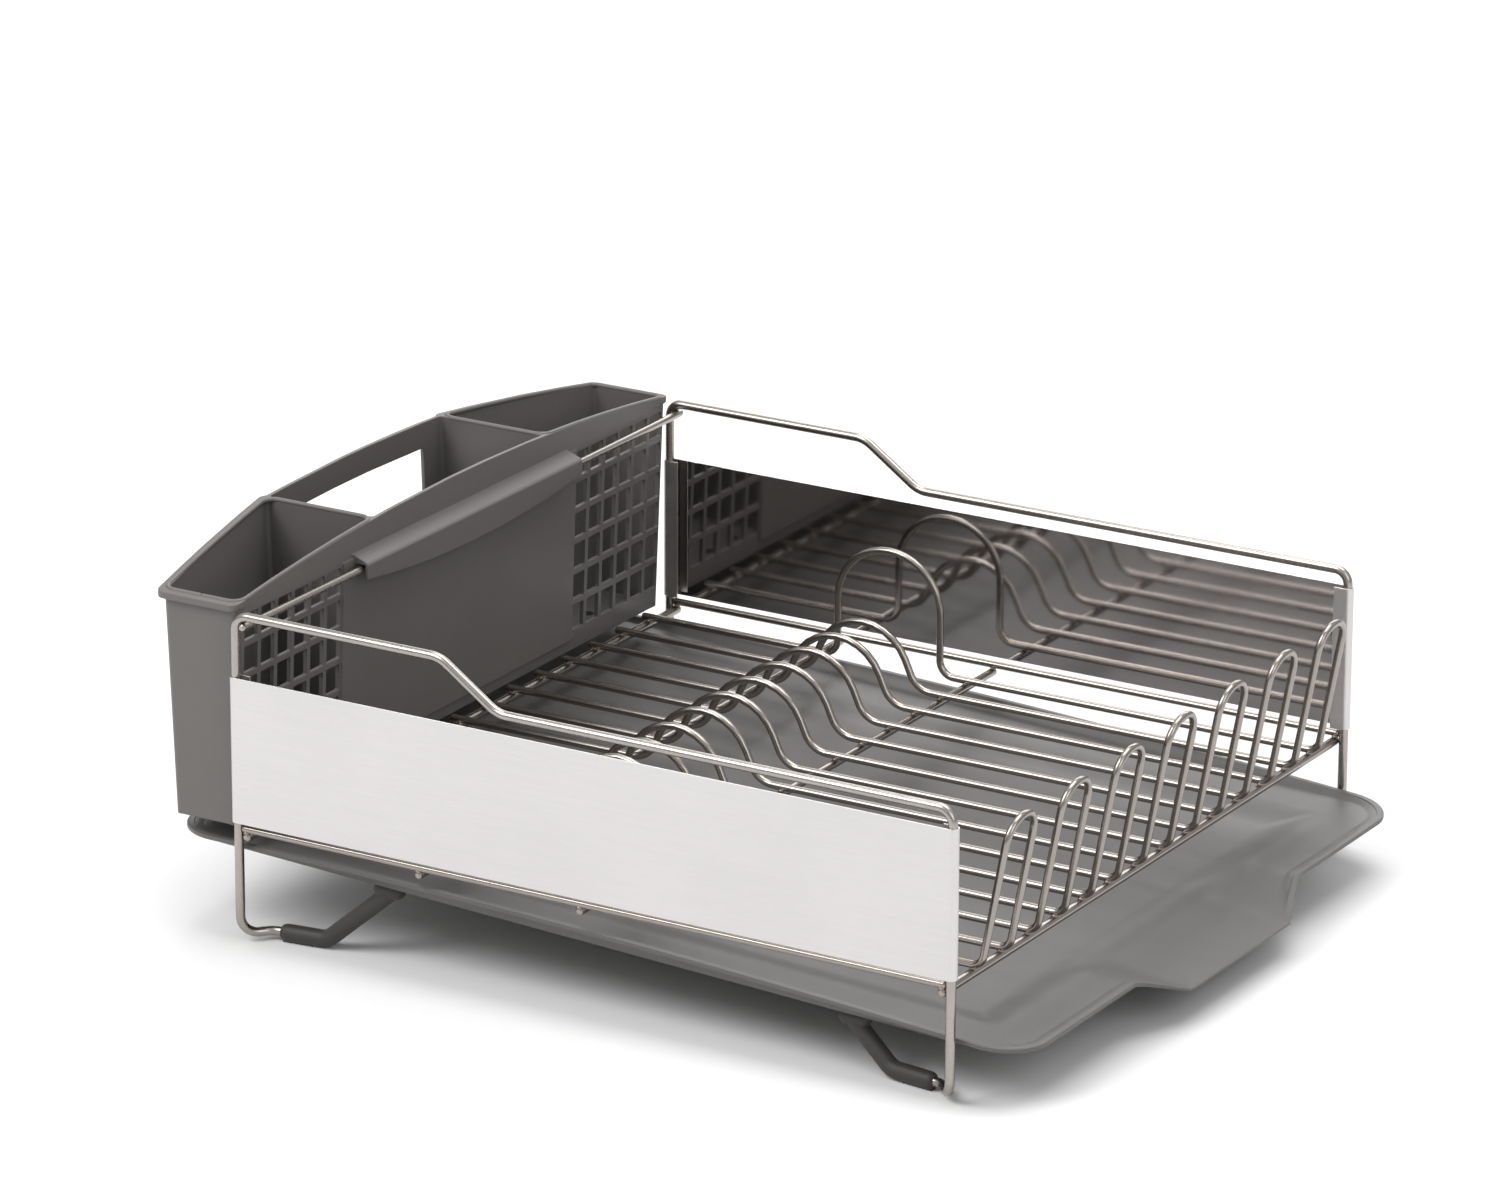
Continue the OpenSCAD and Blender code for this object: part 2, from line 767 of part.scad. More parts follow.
// hook over the back rail: a web above the rail and a flap down in front of it
module hook() {
    x0 = caddy_front - 1;
    x1 = hook_gap_x + hook_t;
    z0 = hook_gap_z;
    z1 = hook_gap_z + hook_t;
    low = z1 - flap_h;
    intersection() {
        rotate([90, 0, 0]) linear_extrude(height = 2 * hook_y, center = true)
            polygon([[x0, z1 + 2.5], [caddy_front + 1, z1 + 2.5], [x1 - 1.4, z1],
                [x1, z1 - 1.4], [x1, low], [hook_gap_x, low],
                [hook_gap_x, z0], [x0, z0]]);
        rotate([90, 0, 90]) linear_extrude(height = 60, center = true)
            polygon(concat([for (i = [-10:10]) [i / 10 * hook_y,
                low + flap_rise * pow(i / 10, 2)]],
                [[hook_y, z1 + 8], [-hook_y, z1 + 8]]));
    }
}

// opening in the rear wall that turns its top edge into a handle
module handle_slot() {
    intersection() {
        difference() {
            arch_prism(band_h);
            arch_prism(band_h + slot_h);
        }
        translate([caddy_front - caddy_mid_d - 8, -slot_y, caddy_z])
            cube([20, 2 * slot_y, caddy_h + caddy_rise]);
    }
}

module drain_holes() {
    for (y = [-150, -120, -95, -45, 0, 45, 95, 120, 150])
        translate([caddy_front - caddy_end_d / 2 - 2, y * caddy_y / 187, caddy_z - 1])
            cylinder(d = 7, h = caddy_t + 2);
}

module utensil_caddy() {
    color(caddy_color) place() difference() {
        union() {
            caddy_walls();
            cup_rim();
            mirror([0, 1, 0]) cup_rim();
            middle_pad();
            hook();
        }
        cup_space();
        mirror([0, 1, 0]) cup_space();
        middle_space();
        grille_holes();
        mirror([0, 1, 0]) grille_holes();
        handle_slot();
        drain_holes();
    }
}

side_frame_near();
side_frame_far();
side_panel_near();
side_panel_far();
base_rail_near();
base_rail_far();
back_top_rail();
end_wire_back();
end_wire_front();
cross_wire_1();
cross_wire_2();
floor_pair_1();
floor_pair_2();
floor_pair_3();
floor_pair_4();
floor_pair_5();
floor_pair_6();
floor_pair_7();
foot_sleeve_near_back();
foot_sleeve_near_front();
foot_sleeve_far_back();
foot_sleeve_far_front();
drip_tray();
utensil_caddy();
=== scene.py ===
"""Looks of a wire dish drying rack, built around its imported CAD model. Lengths are in metres."""

import json
import logging
import math
from collections.abc import Sequence
from dataclasses import dataclass, field
from enum import Enum

import bmesh
import bpy
import numpy as np
from mathutils import Matrix, Vector


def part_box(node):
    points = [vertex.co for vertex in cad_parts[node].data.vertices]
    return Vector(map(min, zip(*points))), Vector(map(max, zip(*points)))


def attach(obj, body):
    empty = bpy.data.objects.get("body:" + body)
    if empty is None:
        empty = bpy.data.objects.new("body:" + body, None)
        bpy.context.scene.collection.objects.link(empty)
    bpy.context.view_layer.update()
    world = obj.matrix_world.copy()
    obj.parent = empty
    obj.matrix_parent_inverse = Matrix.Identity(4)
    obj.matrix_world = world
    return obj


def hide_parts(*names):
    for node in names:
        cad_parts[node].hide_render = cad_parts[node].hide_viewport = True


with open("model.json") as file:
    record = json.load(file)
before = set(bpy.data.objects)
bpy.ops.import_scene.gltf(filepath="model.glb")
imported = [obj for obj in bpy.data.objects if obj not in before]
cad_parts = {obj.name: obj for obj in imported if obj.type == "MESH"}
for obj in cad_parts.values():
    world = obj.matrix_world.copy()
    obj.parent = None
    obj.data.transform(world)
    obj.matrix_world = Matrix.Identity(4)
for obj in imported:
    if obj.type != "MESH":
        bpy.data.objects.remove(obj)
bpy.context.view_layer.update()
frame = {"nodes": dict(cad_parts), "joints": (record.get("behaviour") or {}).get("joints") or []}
LOG = logging.getLogger("dish_rack")


class Side(Enum):
    """Side of the rack, with the sign of its Y."""

    NEAR = -1
    FAR = 1


class End(Enum):
    """End of the rack, with the way from its legs toward the rack's middle."""

    BACK = 1
    FRONT = -1


# ---------------------------------------------------------------- node helpers


class Tree:
    """Adds and links nodes in one node tree."""

    def __init__(self, tree: bpy.types.NodeTree) -> None:
        """Args:
            tree: The tree that nodes are added to.
        """
        self.tree = tree

    def add(self, kind: str, settings: dict | None = None, **inputs: object) -> bpy.types.Node:
        """Adds a node, sets its properties and fills its inputs.

        Args:
            kind: The node's type name.
            settings: Properties of the node itself.
            inputs: Socket names, with spaces as underscores, and a value or an output socket for each.

        Returns:
            The new node.
        """
        node = self.tree.nodes.new(kind)
        for key, value in (settings or {}).items():
            setattr(node, key, value)
        for key, value in inputs.items():
            self.fill(node.inputs[key.replace("_", " ")], value)
        return node

    def fill(self, socket: bpy.types.NodeSocket, value: object) -> None:
        """Links an output to a socket, or sets the socket's own value.

        Args:
            socket: The input socket.
            value: An output socket or a plain value.
        """
        if isinstance(value, bpy.types.NodeSocket):
            self.tree.links.new(value, socket)
        else:
            socket.default_value = value

    def math(self, operation: str, *values: object) -> bpy.types.NodeSocket:
        """Adds a Math node.

        Args:
            operation: The node's operation.
            values: Its operands, sockets or numbers.

        Returns:
            The node's output.
        """
        node = self.tree.nodes.new("ShaderNodeMath")
        node.operation = operation
        for socket, value in zip(node.inputs, values):
            self.fill(socket, value)
        return node.outputs[0]

    def blend(self, first: object, second: object, shares: tuple[float, float]) -> bpy.types.NodeSocket:
        """Returns the sum of two outputs, each times its share."""
        parts = [self.math("MULTIPLY", part, share) for part, share in zip((first, second), shares)]
        return self.math("ADD", *parts)

    def around(
        self, middle: float, first: object, second: object, shares: tuple[float, float]
    ) -> bpy.types.NodeSocket:
        """Moves a value about its middle by two noises that average one half.

        Args:
            middle: The value's mean.
            first: The first noise.
            second: The second noise.
            shares: How far each noise moves the value.

        Returns:
            The moved value.
        """
        return self.math("ADD", self.blend(first, second, shares), middle - sum(shares) / 2)

    def ramp(
        self, factor: bpy.types.NodeSocket, stops: Sequence[tuple[float, Sequence[float]]]
    ) -> bpy.types.NodeSocket:
        """Adds a colour ramp.

        Args:
            factor: What drives the ramp.
            stops: Places along it, with their linear colours.

        Returns:
            The ramp's colour.
        """
        node = self.tree.nodes.new("ShaderNodeValToRGB")
        elements = node.color_ramp.elements
        while len(elements) < len(stops):
            elements.new(0.5)
        for element, (place, colour) in zip(elements, stops):
            element.position = place
            element.color = (*colour, 1.0)
        self.fill(node.inputs[0], factor)
        return node.outputs[0]


def shade(colour: Sequence[float], factor: float) -> tuple[float, ...]:
    """Returns a colour made lighter or darker by a factor."""
    return tuple(min(1.0, c * factor) for c in colour)


def new_finish(name: str) -> tuple[bpy.types.Material, Tree, bpy.types.Node]:
    """Returns a new material, its tree and its Principled BSDF."""
    mat = bpy.data.materials.new(name)
    mat.use_nodes = True
    return mat, Tree(mat.node_tree), mat.node_tree.nodes["Principled BSDF"]


def new_shaper(name: str, inputs: dict[str, str]) -> Tree:
    """Makes a Geometry Nodes tree with a geometry input, named inputs and a geometry output.

    Args:
        name: The tree's name.
        inputs: Names of the further inputs, with the kind of each.

    Returns:
        The tree, still without nodes.
    """
    tree = bpy.data.node_groups.new(name, "GeometryNodeTree")
    face = tree.interface
    for socket, kind in {"Geometry": "Geometry", **inputs}.items():
        face.new_socket(socket, in_out="INPUT", socket_type=f"NodeSocket{kind}")
    face.new_socket("Geometry", in_out="OUTPUT", socket_type="NodeSocketGeometry")
    return Tree(tree)


# ---------------------------------------------------------------- finishes


@dataclass(frozen=True)
class DrawnSteel:
    """Satin stainless wire with fine lines along its length.

    Attributes:
        name: The material's name.
        colour: Linear base colour of the metal.
        rough: Mean roughness.
        lines: Depth of the drawing lines.
    """

    name: str
    colour: tuple[float, float, float]
    rough: float = 0.3
    lines: float = 0.000004

    def make(self) -> bpy.types.Material:
        """Returns the material."""
        mat, t, bsdf = new_finish(self.name)
        ring = t.add("ShaderNodeAttribute", {"attribute_name": "ring"})
        along = t.add("ShaderNodeAttribute", {"attribute_name": "along"})
        run = t.add("ShaderNodeCombineXYZ", X=0.0, Y=0.0, Z=t.math("MULTIPLY", along.outputs["Fac"], 0.03))
        path = t.add("ShaderNodeVectorMath", {"operation": "ADD"})
        t.fill(path.inputs[0], ring.outputs["Vector"])
        t.fill(path.inputs[1], run.outputs[0])
        drawn = t.add("ShaderNodeTexNoise", Vector=path.outputs[0], Scale=2600.0, Detail=3.0)
        place = t.add("ShaderNodeTexCoord").outputs["Object"]
        haze = t.add("ShaderNodeTexNoise", Vector=place, Scale=95.0, Detail=4.0, Roughness=0.6)
        speck = t.add("ShaderNodeTexNoise", Vector=place, Scale=900.0, Detail=2.0)
        base = t.ramp(haze.outputs[0], [(0.3, shade(self.colour, 0.95)), (0.7, shade(self.colour, 1.04))])
        t.fill(bsdf.inputs["Base Color"], base)
        rough = t.around(self.rough, haze.outputs[0], drawn.outputs[0], (0.06, 0.05))
        t.fill(bsdf.inputs["Roughness"], rough)
        bsdf.inputs["Metallic"].default_value = 1.0
        height = t.math("ADD", drawn.outputs[0], t.math("MULTIPLY", speck.outputs[0], 0.2))
        bump = t.add("ShaderNodeBump", Height=height, Strength=0.4, Distance=self.lines)
        t.fill(bsdf.inputs["Normal"], bump.outputs[0])
        return mat


@dataclass(frozen=True)
class SheetSteel:
    """Stainless sheet, brushed along the rack.

    Attributes:
        name: The material's name.
        colour: Linear base colour of the metal.
        rough: Mean roughness.
        grain: Depth of the brushing.
        stretch: How much longer than high the brush lines are.
    """

    name: str
    colour: tuple[float, float, float]
    rough: float
    grain: float
    stretch: float = 40.0

    def make(self) -> bpy.types.Material:
        """Returns the material."""
        mat, t, bsdf = new_finish(self.name)
        place = t.add("ShaderNodeTexCoord").outputs["Object"]
        brush = t.add("ShaderNodeMapping", Vector=place, Scale=(1 / self.stretch, 1.0, 1.0))
        fine = t.add("ShaderNodeTexNoise", Vector=brush.outputs[0], Scale=5200.0, Detail=3.0)
        broad = t.add("ShaderNodeTexNoise", Vector=brush.outputs[0], Scale=900.0, Detail=2.0)
        cloud = t.add("ShaderNodeTexNoise", Vector=place, Scale=14.0, Detail=4.0, Roughness=0.55)
        lines = t.blend(fine.outputs[0], broad.outputs[0], (0.6, 0.4))
        tone = t.blend(lines, cloud.outputs[0], (0.6, 0.4))
        base = t.ramp(tone, [(0.35, shade(self.colour, 0.95)), (0.65, shade(self.colour, 1.04))])
        t.fill(bsdf.inputs["Base Color"], base)
        rough = t.around(self.rough, lines, cloud.outputs[0], (0.08, 0.06))
        t.fill(bsdf.inputs["Roughness"], rough)
        bsdf.inputs["Metallic"].default_value = 1.0
        bump = t.add("ShaderNodeBump", Height=lines, Strength=0.4, Distance=self.grain)
        t.fill(bsdf.inputs["Normal"], bump.outputs[0])
        return mat


@dataclass(frozen=True)
class Moulded:
    """Moulded plastic or rubber with a fine spark-eroded texture.

    Attributes:
        name: The material's name.
        colour: Linear base colour.
        rough: Mean roughness.
        grain: Depth of the texture.
        grain_size: Size of one grain of the texture.
        specular: Specular level.
    """

    name: str
    colour: tuple[float, float, float]
    rough: float
    grain: float = 0.00003
    grain_size: float = 0.0006
    specular: float = 0.5

    def make(self) -> bpy.types.Material:
        """Returns the material."""
        mat, t, bsdf = new_finish(self.name)
        place = t.add("ShaderNodeTexCoord").outputs["Object"]
        fineness = 1 / self.grain_size
        grain = t.add("ShaderNodeTexNoise", Vector=place, Scale=fineness, Detail=3.0, Roughness=0.6)
        flow = t.add("ShaderNodeTexNoise", Vector=place, Scale=9.0, Detail=3.0, Distortion=0.8)
        scuff = t.add("ShaderNodeTexNoise", Vector=place, Scale=60.0, Detail=6.0, Roughness=0.7)
        tone = t.blend(flow.outputs[0], grain.outputs[0], (0.6, 0.4))
        base = t.ramp(tone, [(0.3, shade(self.colour, 0.93)), (0.7, shade(self.colour, 1.07))])
        t.fill(bsdf.inputs["Base Color"], base)
        rough = t.around(self.rough, scuff.outputs[0], grain.outputs[0], (0.12, 0.06))
        t.fill(bsdf.inputs["Roughness"], rough)
        bsdf.inputs["Specular IOR Level"].default_value = self.specular
        bump = t.add("ShaderNodeBump", Height=grain.outputs[0], Strength=0.6, Distance=self.grain)
        t.fill(bsdf.inputs["Normal"], bump.outputs[0])
        return mat


@dataclass
class Palette:
    """Every finish of the rack, made once."""

    frame_wire: bpy.types.Material
    floor_wire: bpy.types.Material
    weld: bpy.types.Material
    sheet_outside: bpy.types.Material
    sheet_inside: bpy.types.Material
    rubber: bpy.types.Material
    tray: bpy.types.Material
    caddy: bpy.types.Material

    @classmethod
    def mix(cls) -> "Palette":
        """Returns the palette with all its materials made."""
        return cls(
            frame_wire=DrawnSteel("satin_frame_steel", (0.37, 0.34, 0.315), 0.27).make(),
            floor_wire=DrawnSteel("satin_floor_steel", (0.32, 0.29, 0.265), 0.25).make(),
            weld=DrawnSteel("weld_steel", (0.27, 0.235, 0.21), 0.38).make(),
            sheet_outside=SheetSteel("satin_sheet_steel", (0.63, 0.615, 0.61), 0.42, 0.000010).make(),
            sheet_inside=SheetSteel("polished_sheet_steel", (0.56, 0.545, 0.54), 0.06, 0.0000002).make(),
            rubber=Moulded("foot_rubber", (0.040, 0.036, 0.034), 0.52, 0.00002, 0.0005, 0.35).make(),
            tray=Moulded("tray_plastic", (0.098, 0.094, 0.0905), 0.43, 0.000025, 0.0008, 0.38).make(),
            caddy=Moulded("caddy_plastic", (0.115, 0.108, 0.104), 0.45, 0.000035, 0.0009, 0.35).make(),
        )


# ---------------------------------------------------------------- mesh helpers


def add_object(name: str, data: bpy.types.ID) -> bpy.types.Object:
    """Returns a new object of the scene that holds the data."""
    obj = bpy.data.objects.new(name, data)
    bpy.context.scene.collection.objects.link(obj)
    return obj


def mesh_object(
    name: str,
    verts: Sequence,
    faces: Sequence[Sequence[int]] = (),
    materials: Sequence[bpy.types.Material] = (),
    edges: Sequence[tuple[int, int]] = (),
) -> bpy.types.Object:
    """Makes an object from points with faces or loose edges.

    Args:
        name: The object's name.
        verts: Points in metres.
        faces: Tuples of point numbers.
        materials: The object's materials, in slot order.
        edges: Pairs of point numbers, for a mesh without faces.

    Returns:
        The new object, at the origin.
    """
    mesh = bpy.data.meshes.new(name)
    mesh.from_pydata([tuple(v) for v in verts], list(edges), [tuple(f) for f in faces])
    for material in materials:
        mesh.materials.append(material)
    return add_object(name, mesh)


def skin(rings: int, count: int, forward: bool = True) -> list[tuple[int, ...]]:
    """Lays faces over rings of points and closes both ends.

    Args:
        rings: Number of rings, numbered one after the other.
        count: Points in each ring.
        forward: Whether a face starts along its ring, or else across to the next ring.

    Returns:
        Tuples of point numbers.
    """
    faces = []
    for i in range(rings - 1):
        for j in range(count):
            k = (j + 1) % count
            near, near_next = i * count + j, i * count + k
            far, far_next = near + count, near_next + count
            face = (near_next, far_next, far) if forward else (far, far_next, near_next)
            faces.append((near, *face))
    faces.append(tuple(range(count)))
    faces.append(tuple((rings - 1) * count + j for j in reversed(range(count))))
    return faces


def face_outward(obj: bpy.types.Object, merge: float = 1e-6) -> None:
    """Merges doubles and turns every face of a closed mesh outward.

    Args:
        obj: The mesh object.
        merge: Distance under which two points become one.
    """
    work = bmesh.new()
    work.from_mesh(obj.data)
    bmesh.ops.remove_doubles(work, verts=work.verts, dist=merge)
    bmesh.ops.recalc_face_normals(work, faces=work.faces)
    work.to_mesh(obj.data)
    work.free()


def smooth_by_angle(obj: bpy.types.Object, angle: float = math.radians(35)) -> None:
    """Shades a mesh smooth, with edges sharper than an angle kept sharp.

    Args:
        obj: The mesh object.
        angle: The angle, in radians.
    """
    mesh = obj.data
    mesh.shade_smooth()
    mesh.set_sharp_from_angle(angle=angle)


def apply_modifiers(obj: bpy.types.Object) -> bpy.types.Object:
    """Turns an object's evaluated shape into its plain mesh.

    Args:
        obj: The object, with its modifiers.

    Returns:
        The same object, with no modifier left.
    """
    graph = bpy.context.evaluated_depsgraph_get()
    graph.update()
    shape = bpy.data.meshes.new_from_object(obj.evaluated_get(graph), depsgraph=graph)
    obj.modifiers.clear()
    old = obj.data
    obj.data = shape
    bpy.data.meshes.remove(old)
    return obj


def run_shaper(
    obj: bpy.types.Object, tree: bpy.types.NodeTree, values: dict[str, object]
) -> bpy.types.Object:
    """Puts an object through a Geometry Nodes tree and keeps the result as its mesh.

    Args:
        obj: The object that the tree starts from.
        tree: The tree.
        values: A value for each named input, set by the socket's identifier.

    Returns:
        The same object.
    """
    modifier = obj.modifiers.new(tree.name, "NODES")
    modifier.node_group = tree
    for item in tree.interface.items_tree:
        if item.item_type == "SOCKET" and item.in_out == "INPUT" and item.name in values:
            modifier[item.identifier] = values[item.name]
    return apply_modifiers(obj)


def join(name: str, objects: Sequence[bpy.types.Object]) -> bpy.types.Object:
    """Joins objects into the first one.

    Args:
        name: The name of the result.
        objects: Mesh objects at the origin.

    Returns:
        The joined object.
    """
    first = objects[0]
    with bpy.context.temp_override(active_object=first, selected_editable_objects=list(objects)):
        bpy.ops.object.join()
    first.name = name
    return first


def install(obj: bpy.types.Object, body: str, slot: str, *nodes: str) -> None:
    """Hands a finished piece to the frame.

    Args:
        obj: The piece.
        body: The body it rides on.
        slot: The record's material slot; not used.
        nodes: The CAD nodes that it stands for.
    """
    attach(obj, body)
    if nodes:
        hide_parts(*nodes)
    stands_for = ", ".join(nodes) or "detail"
    LOG.info("%s: %d faces, on %s, for %s", obj.name, len(obj.data.polygons), body, stands_for)


# ---------------------------------------------------------------- sizes


def half_height(node: str) -> float:
    """Returns half the height of a CAD node's box."""
    low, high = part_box(node)
    return (high.z - low.z) / 2


@dataclass(frozen=True)
class Sizes:
    """Driving sizes of the rack, in metres; places come from the CAD boxes.

    Attributes:
        back_x: X of the back legs.
        front_x: X of the front legs.
        side_y: Distance of a side frame from the middle.
        high_z: Height of the high rail.
        low_z: Height of the low rail.
        foot_z: Height of the foot wire.
        floor_z: Height of the floor wires.
        floor_r: Radius of the floor wires and base rails.
        cross_r: Radius of the cross wires.
        end_r: Radius of the end wires.
        rail_r: Radius of the back rail.
        tilt: Slope angle of the drip tray.
        frame_r: Radius of the side frames' wire.
        rail_drop: Distance from the high rail down to the low one.
        pitch: Distance between neighbouring floor wires.
        pairs: Number of floor pairs.
        ledge_z: Height of the tray's ledges at ledge_x.
        ledge_x: Distance from the back legs to where ledge_z is taken.
    """

    back_x: float
    front_x: float
    side_y: float
    high_z: float
    low_z: float
    foot_z: float
    floor_z: float
    floor_r: float
    cross_r: float
    end_r: float
    rail_r: float
    tilt: float
    frame_r: float = 0.00225
    rail_drop: float = 0.0215
    pitch: float = 0.025
    pairs: int = 7
    ledge_z: float = 0.0398
    ledge_x: float = 0.064

    @classmethod
    def from_frame(cls) -> "Sizes":
        """Returns the sizes measured on the CAD nodes."""
        low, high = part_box("side_frame_near")
        rail_low, rail_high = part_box("base_rail_near")
        axis = next(j["axis"] for j in frame["joints"] if j["name"] == "tray_slide")
        r = cls.frame_r
        return cls(
            back_x=low.x + r,
            front_x=high.x - r,
            side_y=-low.y - r,
            high_z=high.z - r,
            low_z=high.z - r - cls.rail_drop,
            foot_z=low.z + r,
            floor_z=(rail_low.z + rail_high.z) / 2,
            floor_r=half_height("base_rail_near"),
            cross_r=half_height("cross_wire_1"),
            end_r=half_height("end_wire_back"),
            rail_r=half_height("back_top_rail"),
            tilt=math.atan2(-axis[2], axis[0]),
        )


# ---------------------------------------------------------------- wires


@dataclass(frozen=True)
class Route:
    """Corner points of a bent wire, with a bend radius at each.

    Attributes:
        points: The corners, ends included.
        bends: A bend radius for each corner, nought at the ends.
    """

    points: tuple[Vector, ...]
    bends: tuple[float, ...]

    def mirrored(self) -> "Route":
        """Returns the route on the other side of the rack."""
        return Route(tuple(Vector((p.x, -p.y, p.z)) for p in self.points), self.bends)


@dataclass
class WireShop:
    """Sweeps a round wire along routes with one Geometry Nodes tree.

    Attributes:
        sides: Faces round a wire.
        bend_steps: Points on each bend.
        soft: Places near a wire's end, in radii from it, with the share of the wire's girth there.
        tree: The Geometry Nodes tree.
    """

    sides: int = 20
    bend_steps: int = 10
    soft: tuple[tuple[float, float], ...] = ((0.0, 0.5), (0.1, 0.72), (0.3, 0.9), (0.65, 0.985), (1.1, 1.0))
    tree: bpy.types.NodeTree = field(init=False)

    def __post_init__(self) -> None:
        """Builds the tree."""
        inputs = {"Wire radius": "Float", "Sides": "Int", "Bend steps": "Int", "Finish": "Material"}
        t = new_shaper("wire_along_route", inputs)
        self.tree = t.tree
        given = t.add("NodeGroupInput").outputs
        curve = t.add("GeometryNodeMeshToCurve", Mesh=given["Geometry"])
        bend = t.add("GeometryNodeInputNamedAttribute", {"data_type": "FLOAT"}, Name="bend")
        fillet = t.add("GeometryNodeFilletCurve", {"mode": "POLY"}, Curve=curve.outputs[0],
                       Radius=bend.outputs["Attribute"], Count=given["Bend steps"])
        along = t.add("GeometryNodeStoreNamedAttribute", {"data_type": "FLOAT", "domain": "POINT"},
                      Geometry=fillet.outputs[0], Name="along",
                      Value=t.add("GeometryNodeSplineParameter").outputs["Length"])
        circle = t.add("GeometryNodeCurvePrimitiveCircle", {"mode": "RADIUS"},
                       Resolution=given["Sides"], Radius=given["Wire radius"])
        ring = t.add("GeometryNodeStoreNamedAttribute", {"data_type": "FLOAT_VECTOR", "domain": "POINT"},
                     Geometry=circle.outputs["Curve"], Name="ring",
                     Value=t.add("GeometryNodeInputPosition").outputs[0])
        girth = t.add("GeometryNodeInputNamedAttribute", {"data_type": "FLOAT"}, Name="girth")
        sweep = t.add("GeometryNodeCurveToMesh", Curve=along.outputs[0], Profile_Curve=ring.outputs[0],
                      Scale=girth.outputs["Attribute"], Fill_Caps=True)
        smooth = t.add("GeometryNodeSetShadeSmooth", Geometry=sweep.outputs[0], Shade_Smooth=True)
        real = t.add("GeometryNodeRealizeInstances", Geometry=smooth.outputs[0])
        dressed = t.add("GeometryNodeSetMaterial", Geometry=real.outputs[0], Material=given["Finish"])
        t.add("NodeGroupOutput", Geometry=dressed.outputs[0])

    def soften(self, route: Route, radius: float) -> tuple[list[Vector], list[float], list[float]]:
        """Adds the points near both ends where the wire rounds off.

        Args:
            route: The wire's route.
            radius: The wire's radius.

        Returns:
            Points, bend radii and girths.
        """
        points, bends = list(route.points), list(route.bends)
        first, last = (points[1] - points[0]).normalized(), (points[-2] - points[-1]).normalized()
        head = [(points[0] + first * d * radius, 0.0, g) for d, g in self.soft]
        tail = [(points[-1] + last * d * radius, 0.0, g) for d, g in reversed(self.soft)]
        middle = [(p, b, 1.0) for p, b in zip(points[1:-1], bends[1:-1])]
        rows = head + middle + tail
        return [r[0] for r in rows], [r[1] for r in rows], [r[2] for r in rows]

    def bend(self, name: str, route: Route, radius: float, finish: bpy.types.Material) -> bpy.types.Object:
        """Makes one wire.

        Args:
            name: The piece's name.
            route: The wire's route.
            radius: The wire's radius.
            finish: The wire's material.

        Returns:
            The wire as a plain mesh.
        """
        points, bends, girths = self.soften(route, radius)
        links = [(i, i + 1) for i in range(len(points) - 1)]
        obj = mesh_object(name, points, materials=(finish,), edges=links)
        for key, values in (("bend", bends), ("girth", girths)):
            obj.data.attributes.new(key, "FLOAT", "POINT").data.foreach_set("value", values)
        counts = {"Sides": self.sides, "Bend steps": self.bend_steps}
        return run_shaper(obj, self.tree, {"Wire radius": radius, "Finish": finish, **counts})


@dataclass
class WeldShop:
    """Sets a bead of weld metal at each crossing with one Geometry Nodes tree.

    Attributes:
        detail: Subdivisions of a bead.
        variation: Share by which the beads' size varies.
        seed: Seed of the beads' variation.
        tree: The Geometry Nodes tree.
    """

    detail: int = 3
    variation: float = 0.12
    seed: int = 11
    tree: bpy.types.NodeTree = field(init=False)

    def __post_init__(self) -> None:
        """Builds the tree."""
        inputs = {"Bead size": "Vector", "Variation": "Float", "Seed": "Int", "Finish": "Material"}
        t = new_shaper("weld_beads", inputs)
        self.tree = t.tree
        given = t.add("NodeGroupInput").outputs
        ball = t.add("GeometryNodeMeshIcoSphere", Radius=1.0, Subdivisions=self.detail)
        vary = t.add("FunctionNodeRandomValue", {"data_type": "FLOAT"})
        t.fill(vary.inputs[2], t.math("SUBTRACT", 1.0, given["Variation"]))
        t.fill(vary.inputs[3], t.math("ADD", 1.0, given["Variation"]))
        t.fill(next(s for s in vary.inputs if s.name == "Seed"), given["Seed"])
        size = t.add("ShaderNodeVectorMath", {"operation": "SCALE"})
        t.fill(size.inputs[0], given["Bead size"])
        t.fill(size.inputs["Scale"], vary.outputs[1])
        beads = t.add("GeometryNodeInstanceOnPoints", Points=given["Geometry"],
                      Instance=ball.outputs["Mesh"], Scale=size.outputs[0])
        real = t.add("GeometryNodeRealizeInstances", Geometry=beads.outputs[0])
        smooth = t.add("GeometryNodeSetShadeSmooth", Geometry=real.outputs[0], Shade_Smooth=True)
        dressed = t.add("GeometryNodeSetMaterial", Geometry=smooth.outputs[0], Material=given["Finish"])
        t.add("NodeGroupOutput", Geometry=dressed.outputs[0])

    def lay(
        self, name: str, places: Sequence[Vector], size: Sequence[float], finish: bpy.types.Material
    ) -> bpy.types.Object:
        """Makes the beads at a list of places.

        Args:
            name: The piece's name.
            places: The beads' centres.
            size: Half lengths of a bead along X, Y and Z.
            finish: The beads' material.

        Returns:
            The beads as a plain mesh.
        """
        given = {"Bead size": tuple(size), "Variation": self.variation, "Seed": self.seed, "Finish": finish}
        return run_shaper(mesh_object(name, places), self.tree, given)


